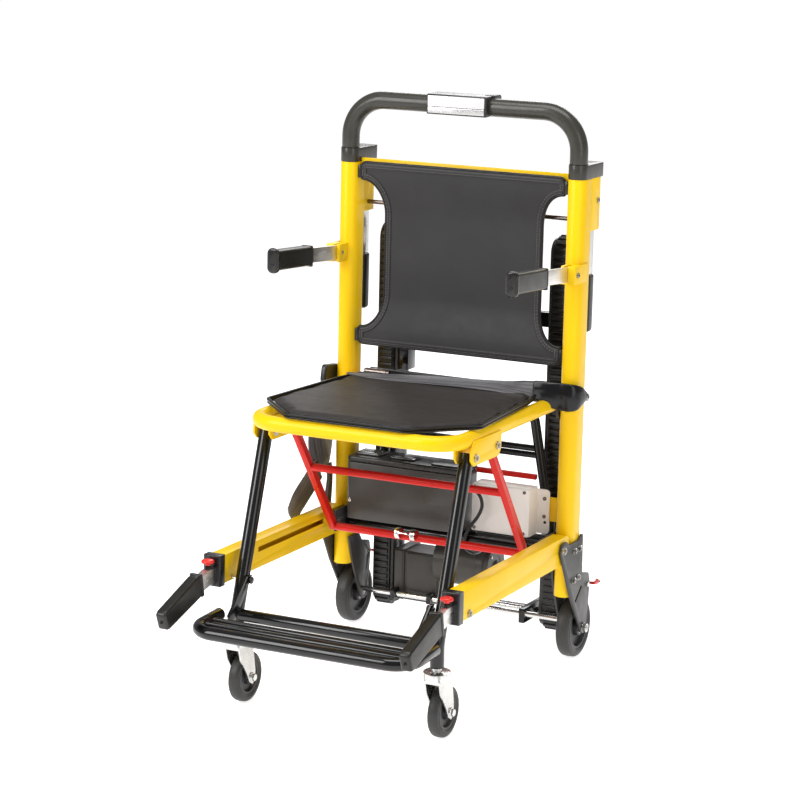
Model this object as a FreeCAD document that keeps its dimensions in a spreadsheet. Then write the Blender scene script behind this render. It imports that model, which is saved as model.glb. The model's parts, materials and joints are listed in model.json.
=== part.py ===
"""Motorised tracked stair chair: a folding seat on casters with a pair of rubber stair tracks behind it.

World frame: the ground is z = 0, +Z is up, the sitter faces -Y and +X is the right side seen from the front.
The chassis leans back by a small angle, so its pieces are drawn square in a chassis frame that is tilted
about X. Wheels and casters stand upright in the ground frame.
"""
import FreeCAD, Part
import math
import os
import Sketcher

doc = FreeCAD.newDocument("stair_chair")
Vec = FreeCAD.Vector
AXIS = {"X": Vec(1, 0, 0), "Y": Vec(0, 1, 0), "Z": Vec(0, 0, 1)}

DIMENSIONS = {
    # whole object
    "lean_angle": 2.8, "origin_shift": 326,
    # uprights and their caps (chassis frame)
    "upright_x": 251, "upright_y": -58, "upright_radius": 19, "upright_back": -31, "upright_wall": 3,
    "upright_bottom": 140, "upright_top": 982, "cap_top": 1010, "cap_back": 24,
    "block_bottom": 878, "block_back": 11, "block_wall": 3,
    # push handle
    "leg_radius": 14, "leg_bottom": 640, "bar_radius": 18, "bar_top": 1110, "bar_bend": 76,
    "panel_wide": 130, "panel_deep": 58, "panel_tall": 42,
    # backrest sling
    "sling_half": 225, "sling_waist": 172, "sling_sag": 12, "sling_top": 982, "sling_bottom": 610, "sling_thick": 8,
    "tab_tall": 36, "sling_y": -62,
    # fold linkage: seat pivot A is placed so that A, B, C and D make a parallelogram
    "pivot_d_y": -120.5, "pivot_d_z": 249, "pivot_c_y": -544.6, "pivot_c_z": 224.7,
    "pivot_b_y": -459, "pivot_b_z": 498.2, "pin_radius": 4, "pin_play": 0.05,
    # seat
    "seat_x": 214, "seat_z": 531, "seat_tube": 15, "tube_wall": 2, "seat_front": -530, "seat_back": -8,
    "seat_bend": 62, "pad_bottom": 547, "pad_thick": 12, "pan_bottom": 543, "pan_thick": 3.5,
    # beams
    "beam_in": 238, "beam_out": 268, "beam_low": 217, "beam_high": 273, "beam_front": -577, "beam_back": -79.5,
    "beam_wall": 2.5, "beam_cap_long": 20,
    # legs and footrest (ground frame)
    "leg_x": 214, "leg_tube": 13.4, "foot_z": 195, "foot_front": -708, "foot_half": 228.5, "foot_tube": 12.5,
    "foot_pivot_y": -543, "foot_pivot_z": 252,
    # wheels
    "rear_wheel": 62.5, "rear_x": 252, "caster_wheel": 50, "caster_x": 214, "caster_y": -529.4,
    "caster_trail": 27, "tyre_half": 15, "caster_half": 12,
    # tracks
    "track_x": 194.5, "track_half": 19, "track_outer": 35, "belt_thick": 8, "track_y": 38.5,
    "track_low": 71, "track_high": 821,
}

sheet = doc.addObject("Spreadsheet::Sheet", "dims")
for row, (alias, number) in enumerate(DIMENSIONS.items(), 1):
    sheet.set(f"A{row}", alias)
    sheet.set(f"B{row}", str(number))
    sheet.setAlias(f"B{row}", alias)
doc.recompute()


class Size:
    """A number that knows its spreadsheet expression, so that sums of cells stay bound to the cells."""

    def __init__(self, value, text):
        self.value = float(value)
        self.text = text

    def __add__(self, other):
        return Size(self.value + plain(other), f"({self.text} + {words(other)})")

    def __radd__(self, other):
        return self + other

    def __sub__(self, other):
        return Size(self.value - plain(other), f"({self.text} - {words(other)})")

    def __rsub__(self, other):
        return Size(plain(other) - self.value, f"({words(other)} - {self.text})")

    def __mul__(self, other):
        return Size(self.value * plain(other), f"({self.text} * {words(other)})")

    def __rmul__(self, other):
        return self * other

    def __truediv__(self, other):
        return Size(self.value / plain(other), f"({self.text} / {words(other)})")

    def __neg__(self):
        return Size(-self.value, f"(0 - {self.text})")

    def __float__(self):
        return self.value


def plain(size):
    return size.value if isinstance(size, Size) else float(size)


def words(size):
    return size.text if isinstance(size, Size) else f"({float(size)})"


class Cells:
    """Every cell of the sheet as a Size attribute."""

    def __getattr__(self, alias):
        return Size(sheet.get(alias), f"dims.{alias}")


D = Cells()


def bind(thing, prop, size):
    """Give a property its value, and its expression when it comes from the sheet."""
    setattr(thing, prop, plain(size))
    if isinstance(size, Size):
        thing.setExpression(prop, size.text)


def vec(x, y, z):
    return Vec(plain(x), plain(y), plain(z))


lean = math.radians(plain(D.lean_angle))
GROUND = FreeCAD.Placement(vec(0, D.origin_shift, 0), FreeCAD.Rotation())
CHASSIS = FreeCAD.Placement(vec(0, D.origin_shift, 0), FreeCAD.Rotation(AXIS["X"], -plain(D.lean_angle)))
PIVOT_A = (D.pivot_d_y + D.pivot_b_y - D.pivot_c_y, D.pivot_d_z + D.pivot_b_z - D.pivot_c_z)


def to_ground(y, z):
    """Chassis frame (y, z) to ground frame (y, z)."""
    return (plain(y) * math.cos(lean) + plain(z) * math.sin(lean),
            plain(z) * math.cos(lean) - plain(y) * math.sin(lean))


class Piece:
    """A PartDesign body with the few features that this chair is made of."""

    def __init__(self, label, place=CHASSIS):
        self.body = doc.addObject("PartDesign::Body", label)
        self.body.Label = label
        self.body.Placement = place
        self.planes = {plane.Role: plane for plane in self.body.Origin.OriginFeatures}
        self.count = 0

    def name(self, kind):
        self.count += 1
        return f"{self.body.Label}_{kind}_{self.count}"

    def sketch(self, axis, offset):
        role = {"X": "YZ_Plane", "Y": "XZ_Plane", "Z": "XY_Plane"}[axis]
        sketch = self.body.newObject("Sketcher::SketchObject", self.name("sketch"))
        sketch.AttachmentSupport = [(self.planes[role], "")]
        sketch.MapMode = "FlatFace"
        sketch.AttachmentOffset = FreeCAD.Placement(Vec(0, 0, plain(offset)), FreeCAD.Rotation())
        if isinstance(offset, Size):
            sketch.setExpression("AttachmentOffset.Base.z", offset.text)
        return sketch

    def outline(self, sketch, points):
        """A closed polygon, each corner held by its two distances from the origin."""
        corners = [vec(a, b, 0) for a, b in points]
        total = len(corners)
        for index in range(total):
            sketch.addGeometry(Part.LineSegment(corners[index], corners[(index + 1) % total]), False)
        for index in range(total):
            sketch.addConstraint(Sketcher.Constraint("Coincident", index, 2, (index + 1) % total, 1))
        for index, point in enumerate(points):
            for kind, size in zip(("DistanceX", "DistanceY"), point):
                item = sketch.addConstraint(Sketcher.Constraint(kind, -1, 1, index, 1, plain(size)))
                if isinstance(size, Size):
                    sketch.setExpression(f"Constraints[{item}]", size.text)

    def circle(self, sketch, centre, radius):
        index = sketch.addGeometry(Part.Circle(vec(centre[0], centre[1], 0), AXIS["Z"], plain(radius)), False)
        for kind, size in zip(("DistanceX", "DistanceY"), centre):
            item = sketch.addConstraint(Sketcher.Constraint(kind, -1, 1, index, 3, plain(size)))
            if isinstance(size, Size):
                sketch.setExpression(f"Constraints[{item}]", size.text)
        item = sketch.addConstraint(Sketcher.Constraint("Radius", index, plain(radius)))
        if isinstance(radius, Size):
            sketch.setExpression(f"Constraints[{item}]", radius.text)

    def extrude(self, axis, low, high, cut, draw):
        """Pad or pocket between two coordinates along an axis. The XZ plane's normal points to -Y."""
        flip = axis == "Y"
        sketch = self.sketch(axis, -high if flip else low)
        draw(sketch)
        kind = "Pocket" if cut else "Pad"
        feature = self.body.newObject(f"PartDesign::{kind}", self.name(kind.lower()))
        feature.Profile = sketch
        bind(feature, "Length", high - low)
        feature.Reversed = bool(cut)
        return feature

    def plate(self, axis, points, low, high, cut=False):
        return self.extrude(axis, low, high, cut, lambda sketch: self.outline(sketch, points))

    def block(self, x, y, z, cut=False):
        corners = [(x[0], y[0]), (x[1], y[0]), (x[1], y[1]), (x[0], y[1])]
        return self.plate("Z", corners, z[0], z[1], cut)

    def disc(self, axis, centre, radius, low, high, cut=False):
        return self.extrude(axis, low, high, cut, lambda sketch: self.circle(sketch, centre, radius))

    def turn(self, points, x, y, z):
        """Revolve a half section (distance along X, radius) about an X axis through y, z."""
        sketch = self.body.newObject("Sketcher::SketchObject", self.name("section"))
        sketch.AttachmentSupport = [(self.planes["XZ_Plane"], "")]
        sketch.MapMode = "FlatFace"
        sketch.AttachmentOffset = FreeCAD.Placement(vec(x, z, -y), FreeCAD.Rotation())
        self.outline(sketch, points)
        feature = self.body.newObject("PartDesign::Revolution", self.name("turn"))
        feature.Profile = sketch
        feature.ReferenceAxis = (sketch, ["H_Axis"])
        feature.Angle = 360.0
        return feature

    def pipe(self, axis, offset, route, bend, radius, wall=None):
        """A round tube along straight runs with tangent bends, drawn on one plane."""
        spine = self.sketch(axis, -offset if axis == "Y" else offset)
        edges = bent_line([vec(a, b, 0) for a, b in route], plain(bend))
        for edge in edges:
            spine.addGeometry(edge, False)
        doc.recompute()
        frame = spine.Placement
        start = frame.multVec(edges[0].StartPoint)
        heading = frame.multVec(edges[0].EndPoint) - start
        profile = self.body.newObject("Sketcher::SketchObject", self.name("profile"))
        profile.Placement = FreeCAD.Placement(start, FreeCAD.Rotation(AXIS["Z"], heading))
        self.circle(profile, (0, 0), radius)
        if wall is not None:
            self.circle(profile, (0, 0), radius - wall)
        feature = self.body.newObject("PartDesign::AdditivePipe", self.name("pipe"))
        feature.Profile = profile
        feature.Spine = (spine, [f"Edge{number + 1}" for number in range(len(edges))])
        return feature

    def soften(self, size, chosen, kind="Fillet"):
        """Fillet or chamfer the edges whose middle passes the test."""
        doc.recompute()
        tip = self.body.Tip
        names = []
        for number, edge in enumerate(tip.Shape.Edges, 1):
            middle = edge.valueAt((edge.FirstParameter + edge.LastParameter) / 2)
            if chosen(edge, middle):
                names.append(f"Edge{number}")
        feature = self.body.newObject(f"PartDesign::{kind}", self.name(kind.lower()))
        feature.Base = (tip, names)
        bind(feature, "Radius" if kind == "Fillet" else "Size", size)
        return feature


def bent_line(points, bend):
    """Straight runs joined by tangent arcs of one radius, in a plane."""
    edges = []
    start = points[0]
    for before, corner, after in zip(points, points[1:], points[2:]):
        inward = (corner - before).normalize()
        outward = (after - corner).normalize()
        half = inward.getAngle(outward) / 2
        if half < 1e-4:
            continue
        reach = bend * math.tan(half)
        first = corner - inward * reach
        last = corner + outward * reach
        edges.append(Part.LineSegment(start, first))
        middle_way = (outward - inward).normalize()
        middle = corner + middle_way * (bend / math.cos(half) - bend)
        edges.append(Part.Arc(first, middle, last))
        start = last
    edges.append(Part.LineSegment(start, points[-1]))
    return edges


NODES = []


def keep(label, thing):
    """Remember an object of the document as a node to write."""
    thing.Label = label
    NODES.append(thing)
    return thing


def mirror(source, label):
    """The same piece on the left side."""
    twin = doc.addObject("Part::Mirroring", label)
    twin.Source = source
    twin.Normal = AXIS["X"]
    twin.Base = Vec(0, 0, 0)
    return twin


def both_sides(piece, right, left):
    keep(right, piece.body)
    keep(left, mirror(piece.body, left))


def group(label, pieces, paired=True):
    """Pieces of one kind as separate solids of one node, with their left-hand twins."""
    bodies = [piece.body for piece in pieces]
    for body in list(bodies):
        body.Label = body.Name + "_one"
        if paired:
            bodies.append(mirror(body, body.Name + "_left"))
    joined = doc.addObject("Part::Compound", label)
    joined.Links = bodies
    return keep(label, joined)


def span(centre, half):
    return (centre - half, centre + half)


UP_IN = D.upright_x - D.upright_radius
UP_OUT = D.upright_x + D.upright_radius
HANDLE_PIVOT = (2, 936)
BRACE_TOP = (-363, 505)
BRACE_FOOT = (-176, 250)
ARM_PIVOT = (-98, 799)
BRAKE_PIVOT = (10, 150)
PIN_BORE = D.pin_radius + D.pin_play


# ---------------------------------------------------------------- uprights and handle
def uprights():
    tube = Piece("upright_right")
    centre = (D.upright_x, D.upright_y)
    tube.block((UP_IN, UP_OUT), (D.upright_y, D.upright_back), (D.upright_bottom, D.upright_top))
    tube.disc("Z", centre, D.upright_radius, D.upright_bottom, D.upright_top)
    hollow = (D.upright_bottom - 1, D.upright_top + 1)
    tube.block((UP_IN + D.upright_wall, UP_OUT - D.upright_wall),
               (D.upright_y, D.upright_back - D.upright_wall), hollow, cut=True)
    tube.disc("Z", centre, D.upright_radius - D.upright_wall, *hollow, cut=True)
    both_sides(tube, "upright_right", "upright_left")

    cap = Piece("upright_cap")
    cap.block((UP_IN - 0.5, UP_OUT + 0.5), (D.upright_y, D.cap_back), (D.upright_top, D.cap_top))
    cap.disc("Z", centre, D.upright_radius + 0.5, D.upright_top, D.cap_top)
    cap.soften(3, lambda edge, mid: abs(mid.y - plain(D.cap_back)) < 1 and abs(edge.tangentAt(0).z) > 0.9)
    cap.disc("Z", centre, D.leg_radius + D.pin_play, D.upright_top - 1, D.cap_top + 1, cut=True)
    group("upright_caps", [cap])

    block = Piece("rear_block")
    block.block((UP_IN, UP_OUT), (D.upright_back, D.block_back), (D.block_bottom, D.upright_top))
    block.block((UP_IN + D.block_wall, UP_OUT - D.block_wall), (D.upright_back + 2, D.block_back + 1),
                (D.block_bottom - 1, D.upright_top - D.block_wall), cut=True)
    block.disc("X", HANDLE_PIVOT, PIN_BORE, UP_IN - 1, UP_OUT + 1, cut=True)
    group("rear_blocks", [block])

    bar = Piece("top_crossbar")
    bar.block((-230, 230), (-50, -42), (960, 990))
    bar.block((-UP_IN, UP_IN), (-50, -42), (960, D.upright_top - 1))
    bracket = Piece("controller_bracket")
    bracket.block((186, UP_IN), (-36, -33), (283, 333))
    group("crosspieces", [bar, bracket], paired=False)


def push_handle():
    bar = Piece("push_handle")
    route = [(-D.upright_x, D.cap_top), (-D.upright_x, D.bar_top), (D.upright_x, D.bar_top),
             (D.upright_x, D.cap_top)]
    bar.pipe("Y", D.upright_y, route, D.bar_bend, D.bar_radius, D.tube_wall)
    keep("push_handle", bar.body)

    leg = Piece("handle_leg")
    centre = (D.upright_x, D.upright_y)
    leg.disc("Z", centre, D.leg_radius, D.leg_bottom, D.cap_top)
    leg.disc("Z", centre, D.bar_radius - D.tube_wall, D.cap_top, D.cap_top + 20)
    leg.disc("Z", centre, D.leg_radius - D.tube_wall, D.leg_bottom - 1, D.cap_top + 21, cut=True)
    group("handle_legs", [leg])

    panel = Piece("panel_case")
    low = D.bar_top - D.bar_radius - 1
    panel.block((-68, -68 + D.panel_wide), span(D.upright_y, D.panel_deep / 2), (low, low + D.panel_tall))
    panel.soften(4, lambda edge, mid: edge.Length > 40)
    panel.disc("X", (D.upright_y, D.bar_top), D.bar_radius, -70, -66 + D.panel_wide, cut=True)
    face = Piece("panel_face")
    front = D.upright_y - D.panel_deep / 2
    face.block((-62, -74 + D.panel_wide), (front - 2, front), (low + 6, low + D.panel_tall - 6))
    group("control_panel", [panel, face], paired=False)


# ---------------------------------------------------------------- backrest, arms and carry handles
def backrest():
    front = D.sling_y
    low, high = D.sling_bottom, D.sling_top
    section = [(front, low), (front, low + 40), (front + D.sling_sag, low + 90),
               (front + D.sling_sag, high - 90), (front, high - 32), (front, high)]
    behind = [(y + D.sling_thick, z) for y, z in reversed(section)]
    sling = Piece("backrest_sling")
    sling.plate("X", section + behind, -D.sling_half, D.sling_half)
    cut_out = [(D.sling_half + 1, low + D.tab_tall - 4), (D.sling_waist + 20, low + 48), (D.sling_waist, low + 90),
               (D.sling_waist, high - 90), (D.sling_waist + 20, high - 49), (D.sling_half + 1, high - D.tab_tall)]
    for side in (1, -1):
        sling.plate("Y", [(side * x, z) for x, z in cut_out], front - 1, front + 40, cut=True)
    keep("backrest_sling", sling.body)

    clips = []
    for number, low in enumerate((D.sling_bottom + 4, D.sling_top - D.tab_tall + 4)):
        clip = Piece(f"sling_clip_{number + 1}")
        clip.block((D.sling_half, UP_IN), (D.sling_y, D.sling_y + 10), (low, low + 26))
        clips.append(clip)
    group("sling_clips", clips)


def arms():
    y, z = ARM_PIVOT
    bracket = Piece("arm_bracket")
    bracket.block((244, UP_OUT + 4), (-112, -77.2), (781, 817))
    bracket.block((UP_OUT + 0.1, UP_OUT + 4), (-112, -44), (781, 817))
    bracket.block((250.9, 259.1), (-113, -82), (780, 818), cut=True)
    bracket.disc("X", ARM_PIVOT, PIN_BORE, 243, UP_OUT + 5, cut=True)
    group("armrest_brackets", [bracket])

    bar = Piece("armrest_bar")
    bar.plate("X", [(y + 11, z - 11), (y + 11, z + 11), (y, z + 15), (-223, 823), (-223, 793), (y, z - 15)],
              251, 259)
    bar.disc("X", ARM_PIVOT, PIN_BORE, 250, 260, cut=True)
    grip = Piece("armrest_pad")
    grip.plate("X", [(-223, 789), (-223, 827), (-365, 834), (-365, 796)], 244, 266)
    grip.soften(6, lambda edge, mid: edge.Length > 100)
    flange = Piece("armrest_end")
    flange.plate("X", [(-365, 792), (-365, 838), (-371, 838), (-371, 792)], 242, 268)
    flange.soften(5, lambda edge, mid: abs(edge.tangentAt(0).y) > 0.9)
    handle_pair("armrest", [bar, grip, flange])


def rear_handles():
    bar = Piece("rear_handle_bar")
    bar.block((247, 258), (-8, 17), (787, 952))
    bar.disc("X", HANDLE_PIVOT, PIN_BORE, 246, 259, cut=True)
    grip = Piece("rear_handle_grip")
    grip.block((240, 262), (-8, 17), (670, 787))
    grip.soften(6, lambda edge, mid: abs(edge.tangentAt(0).z) > 0.9)
    handle_pair("rear_handle", [bar, grip])


def handle_pair(label, pieces):
    """A bar with its grip as two solids of one node, then the left-hand node."""
    right = group(label + "_right", pieces, paired=False)
    keep(label + "_left", mirror(right, label + "_left"))


# ---------------------------------------------------------------- seat
def seat():
    frame = Piece("seat_frame")
    route = [(-D.seat_x, D.seat_back), (-D.seat_x, D.seat_front), (D.seat_x, D.seat_front),
             (D.seat_x, D.seat_back)]
    frame.pipe("Z", D.seat_z, route, D.seat_bend, D.seat_tube, D.tube_wall)
    frame.disc("X", PIVOT_A, PIN_BORE, -240, 240, cut=True)
    keep("seat_frame", frame.body)

    bracket = Piece("seat_bracket")
    outline = [(-478, 513), (-464, 531), (-345, 531), (-345, 497), (-356, 484), (-466, 484), (-478, 496)]
    inner = D.seat_x - D.seat_tube
    outer = D.seat_x + D.seat_tube
    bracket.plate("X", outline, inner - 4, inner)
    bracket.plate("X", outline, outer, outer + 4)
    bracket.block((inner - 1, outer + 1), (-438, -378), (511, 515.5))
    for centre in ((D.pivot_b_y, D.pivot_b_z), BRACE_TOP):
        bracket.disc("X", centre, PIN_BORE, inner - 5, outer + 5, cut=True)
    group("seat_brackets", [bracket])

    pins = []
    for number, centre in enumerate(((D.pivot_b_y, D.pivot_b_z), BRACE_TOP)):
        pin = Piece(f"bracket_pin_{number + 1}")
        pin.disc("X", centre, D.pin_radius, inner - 8, outer + 7)
        pin.disc("X", centre, 7, outer + 4, outer + 8)
        pin.disc("X", centre, 7, inner - 8, inner - 4)
        pins.append(pin)
    group("seat_bolts", pins)

    right = [(200, -96), (214, -176), (232, -432), (128, -542)]
    corners = right + [(-x, y) for x, y in reversed(right)]
    pad = Piece("seat_pad")
    pad.plate("Z", corners, D.pad_bottom, D.pad_bottom + D.pad_thick)
    keep("seat_pad", pad.body)

    pan = Piece("seat_pan")
    right = [(190, -110), (204, -176), (204, -420), (160, -480), (120, -500)]
    pan.plate("Z", right + [(-x, y) for x, y in reversed(right)], D.pan_bottom, D.pan_bottom + D.pan_thick)
    keep("seat_pan", pan.body)

    strap = Piece("seat_strap")
    strap.block((-205, 212), (-168, -112), (559.5, 563.5))
    keep("seat_strap", strap.body)

    anchor = Piece("strap_anchor")
    anchor.block((233, UP_OUT + 6), (-84, -77.5), (524, 568))
    anchor.block((UP_OUT + 0.5, UP_OUT + 6), (-84, -14), (524, 568))
    hanging = Piece("side_strap")
    hanging.plate("X", [(-72, 523), (-140, 402), (-152, 362), (-264, 288), (-70, 284), (-50, 350), (-28, 430),
                        (-24, 523)], -283, -277)
    left_anchor = mirror(anchor.body, "strap_anchor_left")
    joined = group("belt_ends", [anchor, hanging], paired=False)
    joined.Links = joined.Links + [left_anchor]


# ---------------------------------------------------------------- folding linkage
def hinge_lugs():
    seat_lug = Piece("seat_lug")
    y, z = PIVOT_A
    seat_lug.block((D.seat_x + D.seat_tube, UP_IN), (-76, y + 15), (z - 18, z + 18))
    seat_lug.disc("X", PIVOT_A, D.pin_radius, D.seat_x, UP_IN + 1, cut=True)
    beam_lug = Piece("beam_lug")
    beam_lug.block((UP_IN - 4, UP_IN), (-138, -34), (226, 270))
    beam_lug.disc("X", (D.pivot_d_y, D.pivot_d_z), D.pin_radius, 200, 240, cut=True)
    return [seat_lug, beam_lug]


def beams():
    beam = Piece("beam_right")
    low, high = D.beam_low, D.beam_high
    beam.block((D.beam_in, D.beam_out), (D.beam_front, D.beam_back), (low, high))
    beam.soften(14, lambda edge, mid: edge.Length < 40 and mid.y > -90 and mid.z > 260)
    beam.soften(26, lambda edge, mid: edge.Length < 40 and mid.y > -90 and mid.z < 230)
    wall = D.beam_wall
    beam.block((D.beam_in + wall, D.beam_out - wall), (D.beam_front - 1, D.pivot_d_y - 20),
               (low + wall, high - wall), cut=True)
    beam.block((D.beam_in - 1, D.beam_in + wall + 1), (-442, -172), (249, 259), cut=True)
    beam.disc("X", (D.pivot_d_y, D.pivot_d_z), PIN_BORE, D.beam_in - 1, D.beam_out + 1, cut=True)
    beam.disc("X", (D.pivot_c_y, D.pivot_c_z), D.pin_radius, D.beam_in - 1, D.beam_out + 1, cut=True)
    both_sides(beam, "beam_right", "beam_left")

    cap = Piece("beam_cap")
    back = D.beam_front
    cap.block((D.beam_in - 3.5, D.beam_out + 3.5), (back - D.beam_cap_long, back), (low - 3, high + 3))
    cap.soften(3, lambda edge, mid: abs(mid.y - plain(back - D.beam_cap_long)) < 0.5)
    cap.block((245.9, 260.1), (back - D.beam_cap_long - 1, back + 1), (219.9, 252.1), cut=True)
    group("beam_caps", [cap])

    inner = Piece("leg_pivot_inner")
    centre = (D.pivot_c_y, D.pivot_c_z)
    inner.disc("X", centre, D.pin_radius, D.leg_x + 2, D.beam_in + 6)
    head = Piece("leg_pivot_head")
    head.disc("X", centre, D.pin_radius, D.beam_out - 5, D.beam_out)
    head.disc("X", centre, 7, D.beam_out, D.beam_out + 4)
    group("leg_pivot_bolts", [inner, head])


def front_handles():
    bar = Piece("front_handle_bar")
    bar.plate("X", [(-430, 220), (-430, 252), (-622, 252), (-653, 243), (-644, 213), (-612, 220)], 246, 260)
    bar.disc("Z", (253, -611), 4.1, 238, 253, cut=True)
    grip = Piece("front_handle_grip")
    grip.plate("X", [(-653, 253), (-781, 207), (-768, 172), (-640, 211)], 242, 264)
    grip.plate("X", [(-653, 243), (-644, 213), (-640, 213), (-649, 243)], 242, 264)
    grip.soften(6, lambda edge, mid: edge.Length > 90)
    grip.plate("X", [(-641, 252), (-653, 243), (-644, 213), (-630, 213)], 246, 260, cut=True)
    handle_pair("front_handle", [bar, grip])

    button = Piece("release_button")
    button.disc("Z", (253, -611), 4, 246, 262)
    button.disc("Z", (253, -611), 12.5, 262, 271)
    button.soften(4, lambda edge, mid: abs(mid.z - 271) < 0.5)
    both_sides(button, "release_button_right", "release_button_left")


def brace():
    along = Vec(0, BRACE_FOOT[0] - BRACE_TOP[0], BRACE_FOOT[1] - BRACE_TOP[1]).normalize()
    side = Vec(0, -along.z, along.y) * 7
    reach = 7
    ends = []
    for point, sign, way in ((BRACE_TOP, 1, -1), (BRACE_TOP, -1, -1), (BRACE_FOOT, -1, 1), (BRACE_FOOT, 1, 1)):
        spot = Vec(0, *point) + side * sign + along * (reach * way)
        ends.append((spot.y, spot.z))
    frame = Piece("brace_frame")
    frame.plate("X", ends, 207, 220)
    frame.plate("X", ends, -220, -207)
    for share, radius in ((0.441, 8), (1.01, 8)):
        centre = tuple(a + (b - a) * share for a, b in zip(BRACE_TOP, BRACE_FOOT))
        frame.disc("X", centre, radius, -208, 208)
    frame.disc("X", BRACE_TOP, PIN_BORE, -221, 221, cut=True)
    keep("brace_frame", frame.body)


def front_legs():
    b_y, b_z = to_ground(D.pivot_b_y, D.pivot_b_z)
    c_y, c_z = to_ground(D.pivot_c_y, D.pivot_c_z)
    down = Vec(0, c_y - b_y, c_z - b_z).normalize()
    swivel_y = plain(D.caster_y) - plain(D.caster_trail)
    top = (b_y - down.y * 7, b_z - down.z * 7)
    knee_z = b_z + (swivel_y - b_y) * down.z / down.y
    leg = Piece("front_leg_right", GROUND)
    leg.pipe("X", D.leg_x, [top, (swivel_y, knee_z), (swivel_y, 146)], 70, D.leg_tube, D.tube_wall)
    leg.disc("Z", (D.leg_x, swivel_y), D.leg_tube - D.tube_wall + 0.05, 146, 172)
    leg.disc("Z", (D.leg_x, swivel_y), 6.05, 145, 173, cut=True)
    leg.disc("X", (b_y, b_z), PIN_BORE, D.leg_x - 20, D.leg_x + 20, cut=True)
    leg.disc("X", (c_y, c_z), D.pin_radius + 1, D.leg_x, D.leg_x + 20, cut=True)
    both_sides(leg, "front_leg_right", "front_leg_left")

    bar = Piece("crossbar_tube", GROUND)
    half = D.leg_x - 8
    bar.disc("X", (-557, 184), 12, -half, half)

    foot = Piece("footrest", GROUND)
    rear = -598
    route = [(-D.foot_half, rear), (-D.foot_half, D.foot_front), (D.foot_half, D.foot_front),
             (D.foot_half, rear)]
    foot.pipe("Z", D.foot_z, route, 46, D.foot_tube, D.tube_wall)
    for y in (-637, -664):
        foot.disc("X", (y, D.foot_z), 6.5, -D.foot_half, D.foot_half)
    pivot = (plain(D.foot_pivot_y), plain(D.foot_pivot_z))
    arm = [(pivot[0] + 9, pivot[1] + 8), (pivot[0] - 8, pivot[1] + 9), (-622, 203), (-618, 188), (-600, 188)]
    foot.plate("X", arm, 192, 198)
    foot.plate("X", arm, -198, -192)
    foot.disc("X", pivot, PIN_BORE, -200, 200, cut=True)
    keep("footrest", foot.body)

    bolt = Piece("footrest_bolt", GROUND)
    bolt.disc("X", pivot, D.pin_radius, 189, D.leg_x - D.leg_tube + 1)
    bolt.disc("X", pivot, 7, 187, 191)
    twin = mirror(bolt.body, "footrest_bolt_left")
    joined = doc.addObject("Part::Compound", "leg_crossbar")
    joined.Links = [bar.body, bolt.body, twin]
    keep("leg_crossbar", joined)


# ---------------------------------------------------------------- wheels
def casters():
    axle = (D.caster_y, D.caster_wheel)
    x = D.caster_x
    swivel = (x, D.caster_y - D.caster_trail)
    fork = Piece("caster_fork", GROUND)
    fork.disc("Z", swivel, 26, 124, 137)
    fork.disc("Z", swivel, 9, 137, 145.5)
    fork.disc("Z", swivel, 6, 124, 170)
    fork.block((x - 17, x + 17), (D.caster_y - 50, D.caster_y + 3), (118, 124))
    side = [(-578, 120), (-526, 120), (-518, 62), (-520, 42), (-530, 36), (-542, 44), (-550, 62), (-572, 96)]
    fork.plate("X", side, x + 13.5, x + 17)
    fork.plate("X", side, x - 17, x - 13.5)
    pin = Piece("caster_axle", GROUND)
    pin.disc("X", axle, D.pin_radius, x - 20, x + 20)
    fork.disc("X", axle, D.pin_radius, x - 18, x + 18, cut=True)
    handle_pair("caster_fork", [fork, pin])

    wheel_pair("caster_wheel", x, axle, plain(D.caster_wheel), plain(D.caster_half), 34, PIN_BORE, 13)


def wheel_pair(label, x, axle, radius, half, rim, bore, boss):
    """A tyre and its hub as two solids of one node, turned about the axle."""
    tyre = Piece(label + "_tyre", GROUND)
    shoulder = half - 1
    tyre.turn([(-shoulder + 1, rim), (shoulder - 1, rim), (half, rim + 6), (half - 0.5, radius - 5),
               (half - 5, radius), (5 - half, radius), (0.5 - half, radius - 5), (-half, rim + 6)], x, *axle)
    hub = Piece(label + "_hub", GROUND)
    web = half / 3
    hub.turn([(-half - 0.5, bore), (half + 0.5, bore), (half + 0.5, boss), (web, boss + 2), (web, rim - 6),
              (shoulder - 1, rim), (1 - shoulder, rim), (-web, rim - 6), (-web, boss + 2),
              (-half - 0.5, boss)], x, *axle)
    handle_pair(label, [tyre, hub])


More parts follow.
